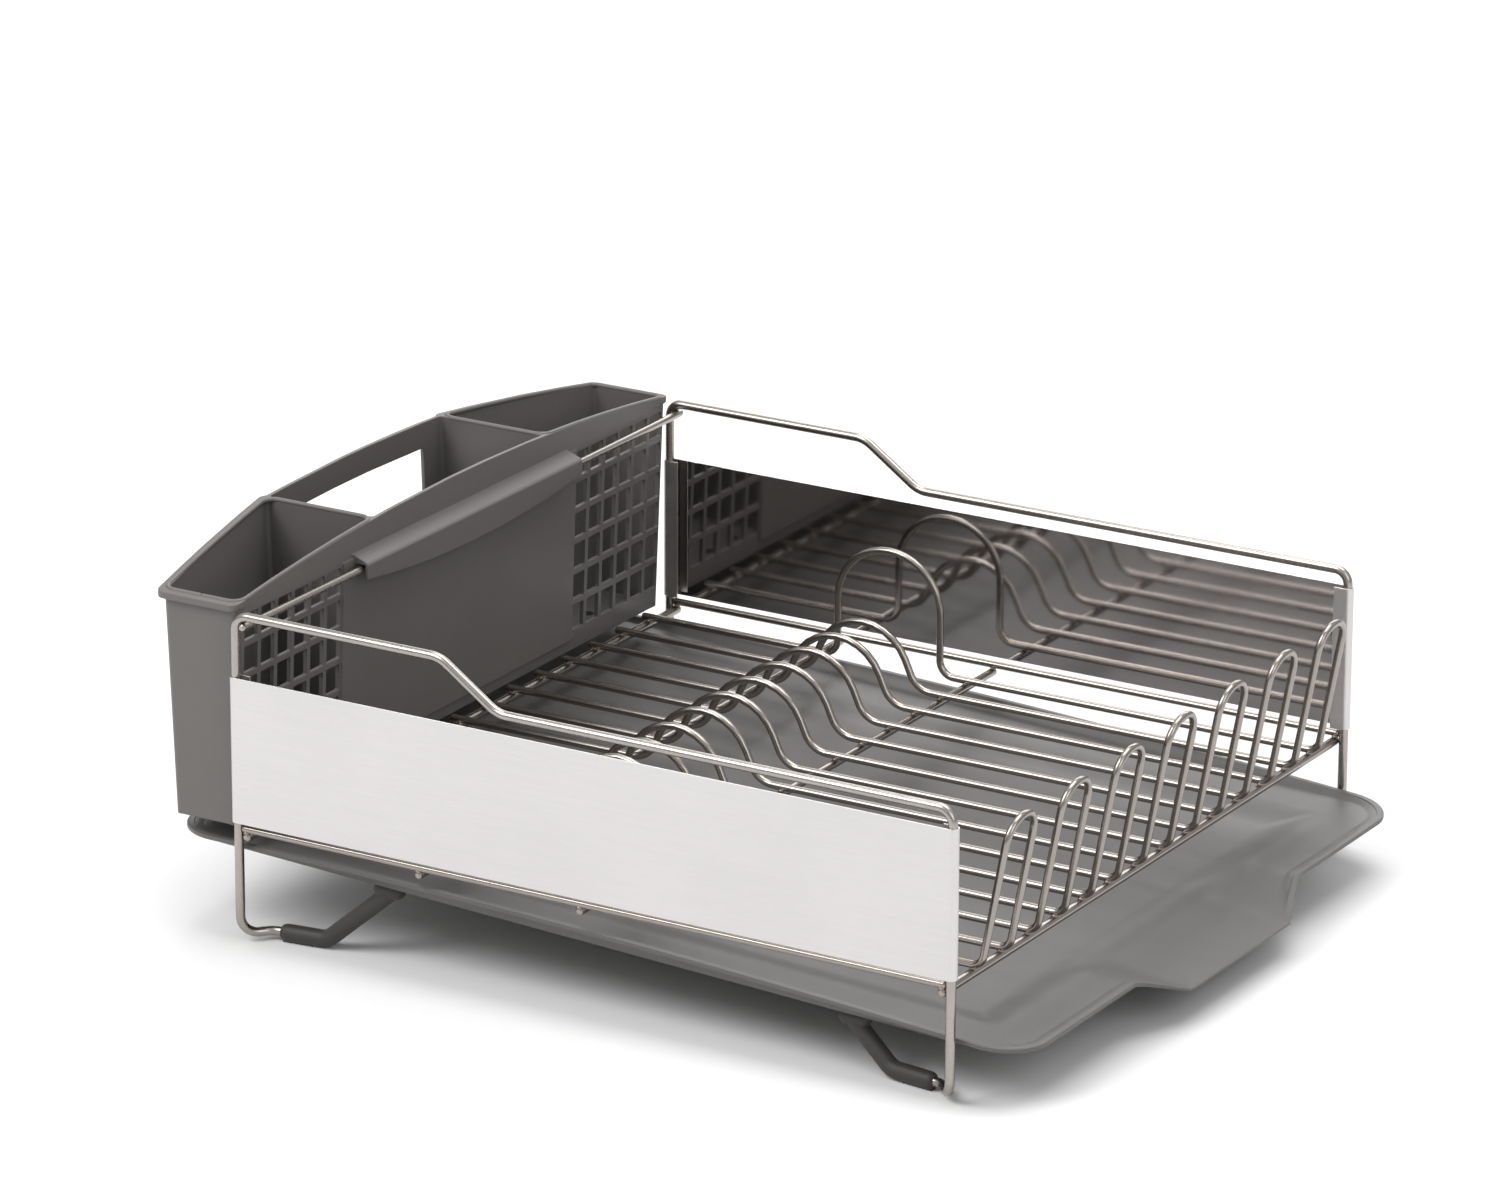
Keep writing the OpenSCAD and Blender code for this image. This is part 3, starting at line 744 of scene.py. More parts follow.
@dataclass
class SideFrames:
    """The two bent side frames and the back rail between them.

    Attributes:
        sizes: The rack's sizes.
        high_run: Length of the high rail from the back leg.
        slope_run: Length of the slope.
        corner_r: Bend radius at the top corners.
        rail_bend_r: Bend radius where the rail slopes.
        leg_bend_r: Bend radius at the bottom of a leg.
        foot_bend_r: Bend radius in the foot.
        tip_bend_r: Bend radius where the foot levels out.
        foot_run: Length of the foot before it rises.
        foot_in: How far the foot has turned inward there.
        crank: Distance along and inward of the crank in the foot.
        tip_in: How far inward the tip stands.
        rise: Angle of the rise.
        tip_run: Length of level wire at the tip.
        head_drop: Distance from the ledges down to a tip's centre line.
    """

    sizes: Sizes
    high_run: float = 0.1115
    slope_run: float = 0.031
    corner_r: float = 0.007
    rail_bend_r: float = 0.016
    leg_bend_r: float = 0.009
    foot_bend_r: float = 0.010
    tip_bend_r: float = 0.005
    foot_run: float = 0.038
    foot_in: float = 0.0155
    crank: tuple[float, float] = (0.010, 0.012)
    tip_in: float = 0.0185
    rise: float = math.radians(41)
    tip_run: float = 0.003
    head_drop: float = 0.0047

    def tip_z(self, x: float) -> float:
        """Returns the height of a foot's tip at a distance x from the back leg."""
        s = self.sizes
        return s.ledge_z - math.tan(s.tilt) * (x - s.ledge_x) - self.head_drop / math.cos(s.tilt)

    def rise_x(self, end: End) -> float:
        """Returns where a foot's rise levels out, from the back leg."""
        s = self.sizes
        slope = math.tan(s.tilt)
        if end is End.BACK:
            return self.foot_run + (self.tip_z(self.foot_run) - s.foot_z) / (math.tan(self.rise) + slope)
        start = s.front_x - s.back_x - self.foot_run
        return start - (self.tip_z(start) - s.foot_z) / (math.tan(self.rise) - slope)

    def tip(self, end: End, past: float) -> Vector:
        """Returns a point past the top of a near foot's rise, toward the rack's middle."""
        s = self.sizes
        x = self.rise_x(end) + end.value * past
        return Vector((s.back_x + x, self.tip_in - s.side_y, self.tip_z(x)))

    def foot(self, end: End) -> list[Vector]:
        """Returns a near foot's points from its crank to its rise."""
        s = self.sizes
        leg = s.back_x if end is End.BACK else s.front_x
        crank = Vector((leg + end.value * self.crank[0], self.crank[1] - s.side_y, s.foot_z))
        low = Vector((leg + end.value * self.foot_run, self.foot_in - s.side_y, s.foot_z))
        return [crank, low]

    def route(self) -> Route:
        """Returns the near side frame's route."""
        s = self.sizes
        y = -s.side_y
        back, front = self.foot(End.BACK), self.foot(End.FRONT)
        high = s.back_x + self.high_run
        points = [
            self.tip(End.BACK, self.tip_run), self.tip(End.BACK, 0.0), back[1], back[0],
            Vector((s.back_x, y, s.foot_z)), Vector((s.back_x, y, s.high_z)),
            Vector((high, y, s.high_z)), Vector((high + self.slope_run, y, s.low_z)),
            Vector((s.front_x, y, s.low_z)), Vector((s.front_x, y, s.foot_z)),
            front[0], front[1], self.tip(End.FRONT, 0.0), self.tip(End.FRONT, self.tip_run),
        ]
        half = (
            0.0, self.tip_bend_r, self.foot_bend_r, self.foot_bend_r,
            self.leg_bend_r, self.corner_r, self.rail_bend_r,
        )
        return Route(tuple(points), half + half[::-1])

    def build(self, shop: WireShop, palette: Palette) -> None:
        """Builds both side frames and the back rail."""
        near = self.route()
        for side, route in ((Side.NEAR, near), (Side.FAR, near.mirrored())):
            node = f"side_frame_{side.name.lower()}"
            wire = shop.bend(f"{node}_wire", route, self.sizes.frame_r, palette.frame_wire)
            install(wire, "rack", "frame_steel", node)
        rail = shop.bend("back_rail_wire", straight("back_top_rail"), self.sizes.rail_r, palette.frame_wire)
        install(rail, "rack", "frame_steel", "back_top_rail")


def straight(node: str) -> Route:
    """Returns the centre line of a straight CAD wire, along its longest side."""
    low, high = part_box(node)
    middle = (low + high) / 2
    axis = max(range(3), key=lambda i: high[i] - low[i])
    ends = []
    for value in (low[axis], high[axis]):
        point = middle.copy()
        point[axis] = value
        ends.append(point)
    return Route(tuple(ends), (0.0, 0.0))


@dataclass
class RackFloor:
    """The floor of the rack: paired wires with humps and hairpins, and the wires under them.

    Attributes:
        sizes: The rack's sizes.
        hump_h: Height of a hump.
        hump_r: Radius at its top.
        hump_base_r: Radius at its foot.
        hump_a: Steepest angle of its side.
        hoop_h: Height of the tall hoop.
        hoop_r: Half its width.
        hoop_base_r: Radius at its foot.
        pin_h: Height of a hairpin.
        pin_lean: Lean of the hairpins.
        pin_bend_r: Radius where a wire turns up.
        flat: Straight stretch left at a two-corner half turn.
        bead: Half sizes of a weld bead.
    """

    sizes: Sizes
    hump_h: float = 0.0296
    hump_r: float = 0.026
    hump_base_r: float = 0.013
    hump_a: float = math.radians(66)
    hoop_h: float = 0.0586
    hoop_r: float = 0.0288
    hoop_base_r: float = 0.008
    pin_h: float = 0.0698
    pin_lean: float = math.radians(10.6)
    pin_bend_r: float = 0.006
    flat: float = 0.0005
    bead: tuple[float, float, float] = (0.0017, 0.0017, 0.0011)

    def hump(self, y: float) -> tuple[list[Vector], list[float]]:
        """Returns a low hump's points and bends, from its back foot to its front foot."""
        z = self.sizes.floor_z
        x = self.hump_x()
        peak = self.hump_h + self.hump_r / math.cos(self.hump_a) - self.hump_r
        half = peak / math.tan(self.hump_a)
        points = [Vector((x - half, y, z)), Vector((x, y, z + peak)), Vector((x + half, y, z))]
        return points, [self.hump_base_r, self.hump_r, self.hump_base_r]

    def hoop(self, y: float) -> tuple[list[Vector], list[float]]:
        """Returns the tall hoop's points and bends."""
        z, x, r = self.sizes.floor_z, self.hump_x(), self.hoop_r
        top = z + self.hoop_h
        points = [Vector((x + dx, y, height)) for dx, height in ((-r, z), (-r, top), (r, top), (r, z))]
        return points, [self.hoop_base_r, r - self.flat, r - self.flat, self.hoop_base_r]

    def hump_x(self) -> float:
        """Returns the X of the humps, midway between the two cross wires."""
        sides = [corner.x for node in ("cross_wire_1", "cross_wire_2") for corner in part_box(node)]
        return sum(sides) / len(sides)

    def pair(self, k: int) -> Route:
        """Returns the route of floor pair k, counted from the near side."""
        s = self.sizes
        centre = (k - (s.pairs + 1) / 2) * 2 * s.pitch
        ya, yb = centre - s.pitch / 2, centre + s.pitch / 2
        tail_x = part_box(f"floor_pair_{k}")[0].x
        reach = s.front_x + self.pin_h * math.tan(self.pin_lean)
        top = s.floor_z + self.pin_h
        turn = s.pitch / 2 - self.flat
        near, near_r = self.hump(ya)
        far, far_r = self.hoop(yb) if k == s.pairs else self.hump(yb)
        points = [Vector((tail_x, ya, s.floor_z)), *near, Vector((s.front_x, ya, s.floor_z)),
                  Vector((reach, ya, top)), Vector((reach, yb, top)), Vector((s.front_x, yb, s.floor_z)),
                  *reversed(far), Vector((tail_x, yb, s.floor_z))]
        bends = [0.0, *near_r, self.pin_bend_r, turn, turn, self.pin_bend_r, *reversed(far_r), 0.0]
        return Route(tuple(points), tuple(bends))

    def welds(self) -> list[Vector]:
        """Returns the place of every weld under the floor wires and base rails."""
        s = self.sizes
        lines = [(k - (s.pairs * 2 + 1) / 2) * s.pitch for k in range(1, 2 * s.pairs + 1)]
        places = []
        for node in ("end_wire_back", "cross_wire_1", "cross_wire_2", "end_wire_front"):
            low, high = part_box(node)
            for y in (-s.side_y, *lines, s.side_y):
                places.append(Vector(((low.x + high.x) / 2, y, high.z)))
        return places

    def build(self, shop: WireShop, welder: WeldShop, palette: Palette) -> None:
        """Builds the floor wires, the wires under them and their welds."""
        s = self.sizes
        for k in range(1, s.pairs + 1):
            wire = shop.bend(f"floor_pair_{k}_wire", self.pair(k), s.floor_r, palette.floor_wire)
            install(wire, "rack", "wire_steel", f"floor_pair_{k}")
        bars = {
            "end_wire_back": s.end_r, "end_wire_front": s.end_r,
            "cross_wire_1": s.cross_r, "cross_wire_2": s.cross_r,
            "base_rail_near": s.floor_r, "base_rail_far": s.floor_r,
        }
        for node, radius in bars.items():
            bar = shop.bend(f"{node}_bar", straight(node), radius, palette.floor_wire)
            install(bar, "rack", "wire_steel", node)
        install(welder.lay("floor_welds", self.welds(), self.bead, palette.weld), "rack", "wire_steel")


# ---------------------------------------------------------------- side panels


@dataclass
class SidePanels:
    """The two sheet panels whose ends curl round the legs.

    Attributes:
        sizes: The rack's sizes.
        clear: Clearance between the sheet and a leg.
        thick: Thickness of the sheet.
        hem: Length of the hem past a leg's centre.
        edge: Rounding of the sheet's cut edges.
        hold: Rows that keep the faces flat: their distance from a cut edge, in roundings.
        face_hold: Share of the flat face's length from a curl to the row that keeps it flat.
        curl_steps: Points round each curl.
        face_steps: Points along the flat face.
    """

    sizes: Sizes
    clear: float = 0.00002
    thick: float = 0.0007
    hem: float = 0.006
    edge: float = 0.00018
    hold: float = 3.0
    face_hold: float = 0.002
    curl_steps: int = 24
    face_steps: int = 24

    def line(self) -> list[tuple[Vector, Vector]]:
        """Returns the near sheet's middle line in plan, each point with its outward direction."""
        s = self.sizes
        r = s.frame_r + self.clear + self.thick / 2
        rows = [(Vector((s.back_x + self.hem, r - s.side_y)), Vector((0, 1)))]
        rows += self.curl(s.back_x, math.pi / 2, r)
        length = s.front_x - s.back_x
        steps = [i / self.face_steps for i in range(1, self.face_steps)]
        for share in [self.face_hold, *steps, 1 - self.face_hold]:
            rows.append((Vector((s.back_x + length * share, -s.side_y - r)), Vector((0, -1))))
        rows += self.curl(s.front_x, -math.pi / 2, r)
        rows.append((Vector((s.front_x - self.hem, r - s.side_y)), Vector((0, 1))))
        return rows

    def curl(self, x: float, start: float, r: float) -> list[tuple[Vector, Vector]]:
        """Returns the half turn of the near sheet's middle line round a leg.

        Args:
            x: X of the leg.
            start: Angle where the half turn starts.
            r: Radius of the middle line round the leg.

        Returns:
            Points with their outward directions.
        """
        rows = []
        for i in range(self.curl_steps + 1):
            a = start + math.pi * i / self.curl_steps
            out = Vector((math.cos(a), math.sin(a)))
            rows.append((Vector((x, -self.sizes.side_y)) + out * r, out))
        return rows

    def section(self, low: float, high: float) -> list[tuple[float, float]]:
        """Returns the sheet's section as (offset outward, height), starting on its outer face."""
        h, e = self.thick / 2, self.edge
        corner = [(math.sin(a), math.cos(a)) for a in (0.0, math.pi / 6, math.pi / 3, math.pi / 2)]
        top_out = [(h - e + e * c[0], high - e + e * c[1]) for c in corner] + [(h, high - self.hold * e)]
        top_in = [(-x, z) for x, z in reversed(top_out)]
        low_in = [(x, low + high - z) for x, z in reversed(top_in)]
        low_out = [(x, low + high - z) for x, z in reversed(top_out)]
        return top_out[::-1] + top_in[::-1] + low_in[::-1] + low_out[::-1]

    def sheet(self, side: Side, palette: Palette) -> bpy.types.Object:
        """Returns one panel, satin outside and polished inside."""
        node = f"side_panel_{side.name.lower()}"
        low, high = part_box(node)
        ring = self.section(low.z, high.z)
        line = self.line()
        verts = []
        for point, out in line:
            for offset, z in ring:
                place = point + out * offset
                verts.append((place.x, place.y * -side.value, z))
        faces = skin(len(line), len(ring))
        obj = mesh_object(f"{node}_sheet", verts, faces, (palette.sheet_outside, palette.sheet_inside))
        face_outward(obj)
        for face in obj.data.polygons:
            beyond_legs = face.center.y * side.value > self.sizes.side_y
            inward = face.normal.y * side.value < -0.5
            face.material_index = int(beyond_legs and inward)
        smooth_by_angle(obj)
        return obj

    def build(self, palette: Palette) -> None:
        """Builds both panels."""
        for side in Side:
            node = f"side_panel_{side.name.lower()}"
            install(self.sheet(side, palette), "rack", "panel_steel", node)


# ---------------------------------------------------------------- feet


@dataclass
class FootSleeves:
    """The four rubber sleeves with their closed heads under the tray.

    Attributes:
        frames: The side frames that the sleeves sit on.
        radius: Radius of a sleeve.
        head_r: Radius of its head.
        gap: Distance from the crank to the sleeve's open end.
        head_out: Length of the head toward the rack's middle.
        head_back: Length of the head toward the leg.
        sole: Width, length and start of the flat sole.
        sole_h: Height of the sole's block inside the sleeve.
        voxel: Size of the remesh that melts the parts together.
    """

    frames: SideFrames
    radius: float = 0.0042
    head_r: float = 0.0044
    gap: float = 0.0044
    head_out: float = 0.006
    head_back: float = 0.0104
    sole: tuple[float, float, float] = (0.0036, 0.016, 0.001)
    sole_h: float = 0.0014
    voxel: float = 0.00034

    def parts(self, end: End, shop: WireShop, palette: Palette) -> list[bpy.types.Object]:
        """Returns the near sleeve's tube, head and sole as overlapping solids."""
        frames = self.frames
        crank, low = frames.foot(end)
        u = (low - crank).normalized()
        start = crank + u * self.gap
        top = frames.tip(end, 0.0)
        tube = Route((start, low, top), (0.0, frames.foot_bend_r, 0.0))
        head_start = frames.tip(end, self.head_r - self.head_back)
        head_end = frames.tip(end, self.head_out - self.head_r)
        return [
            shop.bend("sleeve_tube", tube, self.radius, palette.rubber),
            self.capsule(head_start, head_end, palette),
            self.sole_block(start, u, palette),
        ]

    def capsule(self, a: Vector, b: Vector, palette: Palette) -> bpy.types.Object:
        """Returns a round-ended bar from a to b."""
        work = bmesh.new()
        bmesh.ops.create_uvsphere(work, u_segments=32, v_segments=16, radius=self.head_r)
        half = (b - a) / 2
        turn = half.to_track_quat("Z", "Y").to_matrix().to_4x4()
        for vert in work.verts:
            side = 1 if vert.co.z > 0 else -1
            vert.co.z += side * half.length
        work.transform(Matrix.Translation((a + b) / 2) @ turn)
        mesh = bpy.data.meshes.new("sleeve_head")
        work.to_mesh(mesh)
        work.free()
        mesh.materials.append(palette.rubber)
        return add_object("sleeve_head", mesh)

    def sole_block(self, start: Vector, along: Vector, palette: Palette) -> bpy.types.Object:
        """Returns the flat sole under the sleeve's straight run."""
        width, length, lead = self.sole
        across = Vector((-along.y, along.x, 0)) * width / 2
        near = Vector((start.x, start.y, 0)) + along * lead
        far = near + along * length
        ring = [near - across, near + across, far + across, far - across]
        top = Vector((0, 0, self.sole_h))
        faces = [(0, 3, 2, 1), (4, 5, 6, 7), (0, 1, 5, 4), (1, 2, 6, 5), (2, 3, 7, 6), (3, 0, 4, 7)]
        obj = mesh_object("sleeve_sole", ring + [p + top for p in ring], faces, (palette.rubber,))
        face_outward(obj)
        return obj

    def melt(self, name: str, parts: list[bpy.types.Object]) -> bpy.types.Object:
        """Melts overlapping solids into one rubber skin with soft corners."""
        obj = join(name, parts)
        remesh = obj.modifiers.new("skin", "REMESH")
        remesh.mode = "VOXEL"
        remesh.voxel_size = self.voxel
        relax = obj.modifiers.new("relax", "SMOOTH")
        relax.factor = 0.5
        relax.iterations = 4
        apply_modifiers(obj)
        obj.data.shade_smooth()
        return obj

    def build(self, shop: WireShop, palette: Palette) -> None:
        """Builds the four sleeves; the far ones mirror the near ones."""
        for end in End:
            near = self.melt(f"foot_sleeve_near_{end.name.lower()}_rubber", self.parts(end, shop, palette))
            far = add_object(f"foot_sleeve_far_{end.name.lower()}_rubber", near.data.copy())
            far.data.transform(Matrix.Scale(-1, 4, (0, 1, 0)))
            far.data.flip_normals()
            for side, obj in ((Side.NEAR, near), (Side.FAR, far)):
                node = f"foot_sleeve_{side.name.lower()}_{end.name.lower()}"
                obj.data.materials.clear()
                obj.data.materials.append(palette.rubber)
                install(obj, "rack", "foot_rubber", node)


# ---------------------------------------------------------------- drip tray


@dataclass
class DripTray:
    """The moulded tray: rim, ledges, basin and spout.

    Attributes:
        sizes: The rack's sizes.
        back: How far the tray reaches behind the back legs.
        front: How far its rim reaches in front of the front legs.
        clear: Side clearance to the legs.
        rim_h: Height of the rim over the ledges at the ends.
        crown: Extra height at the middle.
        thick: Thickness of the tray.
        flare: Lean of the wall.
        lip: Width of the rim's lip.
        lip_h: Thickness of the lip.
        corner: Corner radius.
        ledge: Width of the ledge round the basin.
        basin: Depth of the basin.
        basin_flare: Lean of the basin's wall.
        spout_w: Width of the spout at the rim.
        edge_w: Width of its pouring edge.
        spout_l: Length of the spout.
        spout_drop: Drop of the pouring edge below the ledges.
        spout_run: Length of floor that slopes into the spout.
        spout_thin: Share of the thickness that the spout loses at its edge.
        draw: Power by which the spout is drawn out of the outline.
        dip: Power by which the floor drops into the spout.
        merge: How fast the section gives way to the spout's floor.
        floor_in: How far past the basin's wall the floor's last ring lies.
        round_r: Rounding of the rim's edges.
        ease: Share of the wall's slope that eases in and out.
        slope_steps: Rows down the basin's wall.
        corner_steps: Points round a corner.
        long_steps: Points along the front and the back.
        cross_steps: Points along each side.
    """

    sizes: Sizes
    back: float = 0.044
    front: float = 0.034
    clear: float = 0.002
    rim_h: float = 0.0034
    crown: float = 0.0045
    thick: float = 0.002
    flare: float = 0.003
    lip: float = 0.0012
    lip_h: float = 0.0022
    corner: float = 0.024
    ledge: float = 0.023
    basin: float = 0.005
    basin_flare: float = 0.024
    spout_w: float = 0.158
    edge_w: float = 0.098
    spout_l: float = 0.012
    spout_drop: float = 0.0086
    spout_run: float = 0.048
    spout_thin: float = 0.4
    draw: float = 1.5
    dip: float = 1.3
    merge: float = 3.0
    floor_in: float = 0.02
    round_r: float = 0.0005
    ease: float = 0.7
    slope_steps: int = 10
    corner_steps: int = 12
    long_steps: int = 36
    cross_steps: int = 60

    def length(self) -> float:
        """Returns the tray's length along its slope."""
        return self.back + self.sizes.front_x - self.sizes.back_x + self.front

    def width(self) -> float:
        """Returns the tray's width."""
        return 2 * (self.sizes.side_y - self.sizes.frame_r - self.clear)

    def outline(self, inset: float) -> np.ndarray:
        """Returns the tray's outline taken in by inset, as points in plan."""
        r = max(self.corner - 0.7 * inset, 0.004)
        x0, x1, y1 = inset + r, self.length() - inset - r, self.width() / 2 - inset - r
        points = []
        runs = (self.cross_steps, self.long_steps, self.cross_steps, self.long_steps)
        centres = ((x1, -y1), (x1, y1), (x0, y1), (x0, -y1))
        for c, (centre, steps) in enumerate(zip(centres, runs)):
            for k in range(self.corner_steps + 1):
                a = math.radians(-90 + 90 * (c + k / self.corner_steps))
                points.append((centre[0] + r * math.cos(a), centre[1] + r * math.sin(a)))
            here = points[-1]
            after = centres[(c + 1) % 4]
            a = math.radians(90 * c)
            there = (after[0] + r * math.cos(a), after[1] + r * math.sin(a))
            for k in range(1, steps):
                f = k / steps
                points.append((here[0] + (there[0] - here[0]) * f, here[1] + (there[1] - here[1]) * f))
        return np.array(points)

    def rim(self, x: np.ndarray) -> np.ndarray:
        """Returns the rim's height over the ledges along the tray."""
        return self.rim_h + self.crown * (1 - (2 * x / self.length() - 1) ** 2)

    def slope(self, first: float, last: float, top: float) -> list[tuple[float, float, float]]:
        """Returns rows down the basin's wall, eased at both ends.

        Args:
            first: Inset where the wall starts.
            last: Inset where it reaches the floor.
            top: Height that it starts from.

        Returns:
            Rows of inset, height and share of the rim's height.
        """
        rows = []
        for i in range(self.slope_steps + 1):
            f = i / self.slope_steps
            eased = (1 - self.ease) * f + self.ease * f * f * (3 - 2 * f)
            rows.append((first + (last - first) * f, top - self.basin * eased, 0))
        return rows

    def stations(self) -> list[tuple[float, float, float]]:
        """Returns the section from the outer underside over the rim to the floor.

        Each row is an inset, a height, and the share of the rim's height that is added to it.
        """
        t, lip, e = self.thick, self.lip, self.round_r
        c = 0.3 * e
        foot = lip + self.flare
        b0, b1 = self.ledge + 0.0035, self.ledge + self.basin_flare
        under = self.slope(b0, b1 + 0.0005, 0.0)[::-1]
        over = self.slope(b0, b1 + 0.0015, t)
        return [
            (b1 + self.floor_in, -self.basin, 0), *under,
            (foot + 0.002, 0, 0), (foot + 0.0006, 0.0001, 0), (foot - 0.0003, 0.0006, 0),
            (lip + 0.0007, -self.lip_h - 0.0004, 1), (lip + 0.0001, -self.lip_h, 1),
            (e, -self.lip_h, 1), (c, -self.lip_h + c, 1), (0.0, -self.lip_h + e, 1),
            (0.0, -e, 1), (c, -c, 1), (e, 0, 1),
            (lip + t - e, 0, 1), (lip + t - c, -c, 1), (lip + t, -e, 1),
            (foot + t - 0.0008, t + 0.0008, 0),
            (foot + t + 0.0002, t + 0.0002, 0),
            (foot + t + 0.0014, t, 0),
            *over, (b1 + self.floor_in, t - self.basin, 0),
        ]

    def shape(self, inset: float, height: float, share: float, under: bool) -> np.ndarray:
        """Returns one ring of the tray, with the spout drawn out of it.

        Args:
            inset: How far the ring lies inside the outline.
            height: Its height over the ledges' underside.
            share: Share of the rim's height that is added.
            under: True for a ring of the underside.

        Returns:
            Points in the tray's own frame.
        """
        plan = self.outline(inset)
        x, y = plan[:, 0], plan[:, 1]
        z = height + share * self.rim(x)
        half, edge = self.spout_w / 2, self.edge_w / 2
        open_y = 1 - np.clip((np.abs(y) - edge) / (half - edge), 0, 1)
        start = self.length() - self.spout_run
        run = np.clip((x - start) / self.spout_run, 0, 1)
        pull = run ** self.draw * open_y
        level = -self.basin - (self.spout_drop - self.basin) * run ** self.dip
        floor = 0.0 if under else self.thick * (1 - self.spout_thin * run)
        blend = np.clip(run * self.merge, 0, 1)
        blend = blend * blend * (3 - 2 * blend) * open_y
        z = z * (1 - blend) + (level + floor) * blend
        x = x + self.spout_l * pull
        return np.stack([x, y, z], axis=1)

    def build(self, palette: Palette) -> None:
        """Builds the tray and sets it on its slope."""
        rows = self.stations()
        top = next(i for i, row in enumerate(rows) if row[0] == 0.0) + 1
        rings = [self.shape(*row, under=i < top) for i, row in enumerate(rows)]
        faces = skin(len(rings), len(rings[0]), forward=False)
        obj = mesh_object("drip_tray_moulding", np.concatenate(rings), faces, (palette.tray,))
        face_outward(obj)
        s = self.sizes
        height = s.ledge_z + math.tan(s.tilt) * (self.back + s.ledge_x)
        place = Matrix.Translation((s.back_x - self.back, 0, height)) @ Matrix.Rotation(s.tilt, 4, "Y")
        obj.data.transform(place)
        smooth_by_angle(obj, math.radians(40))
        install(obj, "tray", "tray_plastic", "drip_tray")


# ---------------------------------------------------------------- caddy


@dataclass
class UtensilCaddy:
    """The moulded caddy: rounded edges, and a rim bead round each end cup.

    Attributes:
        sizes: The rack's sizes.
        round_r: Rounding of its edges.
        steps: Faces across each rounding.
        bead_r: Radius of a cup's rim bead.
        cup_y: Distance from the middle to each partition.
        end_d: Depth of the caddy at its ends.
        mid_d: Depth of the caddy at its middle.
        rise: Extra height of the rim at the middle.
        wall: Wall thickness.
        clear: Side clearance to the legs.
        rear_gap: Distance from the rearmost point to the rear wall at the rim.
        corner: Corner radius of the bead.
        floor_h: Height over the underside within which the floor's edges lie.
        drain_edge: Edges of the floor shorter than this, as round the drain holes, stay crisp.
        crease: Smallest angle of an edge that is rounded, in radians.
    """

    sizes: Sizes
    round_r: float = 0.0005
    steps: int = 2
    bead_r: float = 0.00125
    cup_y: float = 0.075
    end_d: float = 0.0435
    mid_d: float = 0.062
    rise: float = 0.012
    wall: float = 0.0022
    clear: float = 0.0012
    rear_gap: float = 0.002
    corner: float = 0.006
    floor_h: float = 0.004
    drain_edge: float = 0.0015
    crease: float = math.radians(38)

    def half_width(self) -> float:
        """Returns the distance from the middle to an end wall's outer face."""
        return self.sizes.side_y - self.sizes.frame_r - self.clear

    def rim_height(self, y: float) -> float:
        """Returns the height of the top edge at a distance y from the middle."""
        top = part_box("utensil_caddy")[1].z
        return top - self.rise * (y / self.half_width()) ** 2

    def bead_route(self) -> Route:
        """Returns the closed way of the near cup's bead, just inside the cup's rim."""
        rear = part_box("utensil_caddy")[0].x + self.rear_gap
        inset = self.wall / 2
        front_x = rear + self.mid_d - inset
        end_y = -(self.half_width() - inset)
        front_end, rear_end = (front_x, end_y), (rear + self.mid_d - self.end_d + inset, end_y)
        rear_part, front_part = (rear + inset, -self.cup_y), (front_x, -self.cup_y)
        start = ((front_end[0] + rear_end[0]) / 2, end_y)
        plan = [
            start, rear_end, *self.between(rear_end, rear_part), rear_part,
            front_part, *self.between(front_part, front_end), front_end, start,
        ]
        way = [Vector((x, y, self.rim_height(y) - self.bead_r * 0.4)) for x, y in plan]
        c = self.corner
        return Route(tuple(way), (0.0, c, 0.0, 0.0, 0.0, c, c, 0.0, 0.0, 0.0, c, 0.0))

    def between(self, a: tuple[float, float], b: tuple[float, float]) -> list[tuple[float, float]]:
        """Returns three points that divide the way from a to b."""
        return [(a[0] + (b[0] - a[0]) * f, a[1] + (b[1] - a[1]) * f) for f in (0.25, 0.5, 0.75)]

    def moulding(self, palette: Palette) -> bpy.types.Object:
        """Returns the caddy's body with its edges rounded."""
        mesh = frame["nodes"]["utensil_caddy"].data.copy()
        mesh.materials.clear()
        mesh.materials.append(palette.caddy)
        obj = add_object("utensil_caddy_moulding", mesh)
        work = bmesh.new()
        work.from_mesh(mesh)
        bmesh.ops.remove_doubles(work, verts=work.verts, dist=1e-6)
        bmesh.ops.dissolve_limit(work, angle_limit=math.radians(1.0), verts=work.verts, edges=work.edges)
        bmesh.ops.triangulate(work, faces=work.faces, ngon_method="BEAUTY")
        floor_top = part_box("utensil_caddy")[0].z + self.floor_h
        weight = work.edges.layers.float.new("bevel_weight_edge")
        for edge in work.edges:
            drain = edge.calc_length() < self.drain_edge and edge.verts[0].co.z < floor_top
            sharp = edge.calc_face_angle(0.0) > self.crease
            edge[weight] = float(sharp and not drain)
        work.to_mesh(mesh)
        work.free()
        bevel = obj.modifiers.new("edges", "BEVEL")
        bevel.width = self.round_r
        bevel.segments = self.steps
        bevel.limit_method = "WEIGHT"
        bevel.use_clamp_overlap = False
        apply_modifiers(obj)
        smooth_by_angle(obj, math.radians(40))
        flatten = obj.modifiers.new("flat_faces", "WEIGHTED_NORMAL")
        flatten.keep_sharp = True
        flatten.weight = 100
        return apply_modifiers(obj)

    def build(self, shop: WireShop, palette: Palette) -> None:
        """Builds the caddy."""
        near = self.bead_route()
        beads = [
            shop.bend("near_cup_bead", near, self.bead_r, palette.caddy),
            shop.bend("far_cup_bead", near.mirrored(), self.bead_r, palette.caddy),
        ]
        obj = join("utensil_caddy_moulding", [self.moulding(palette), *beads])
        install(obj, "caddy", "caddy_plastic", "utensil_caddy")


# ---------------------------------------------------------------- studio


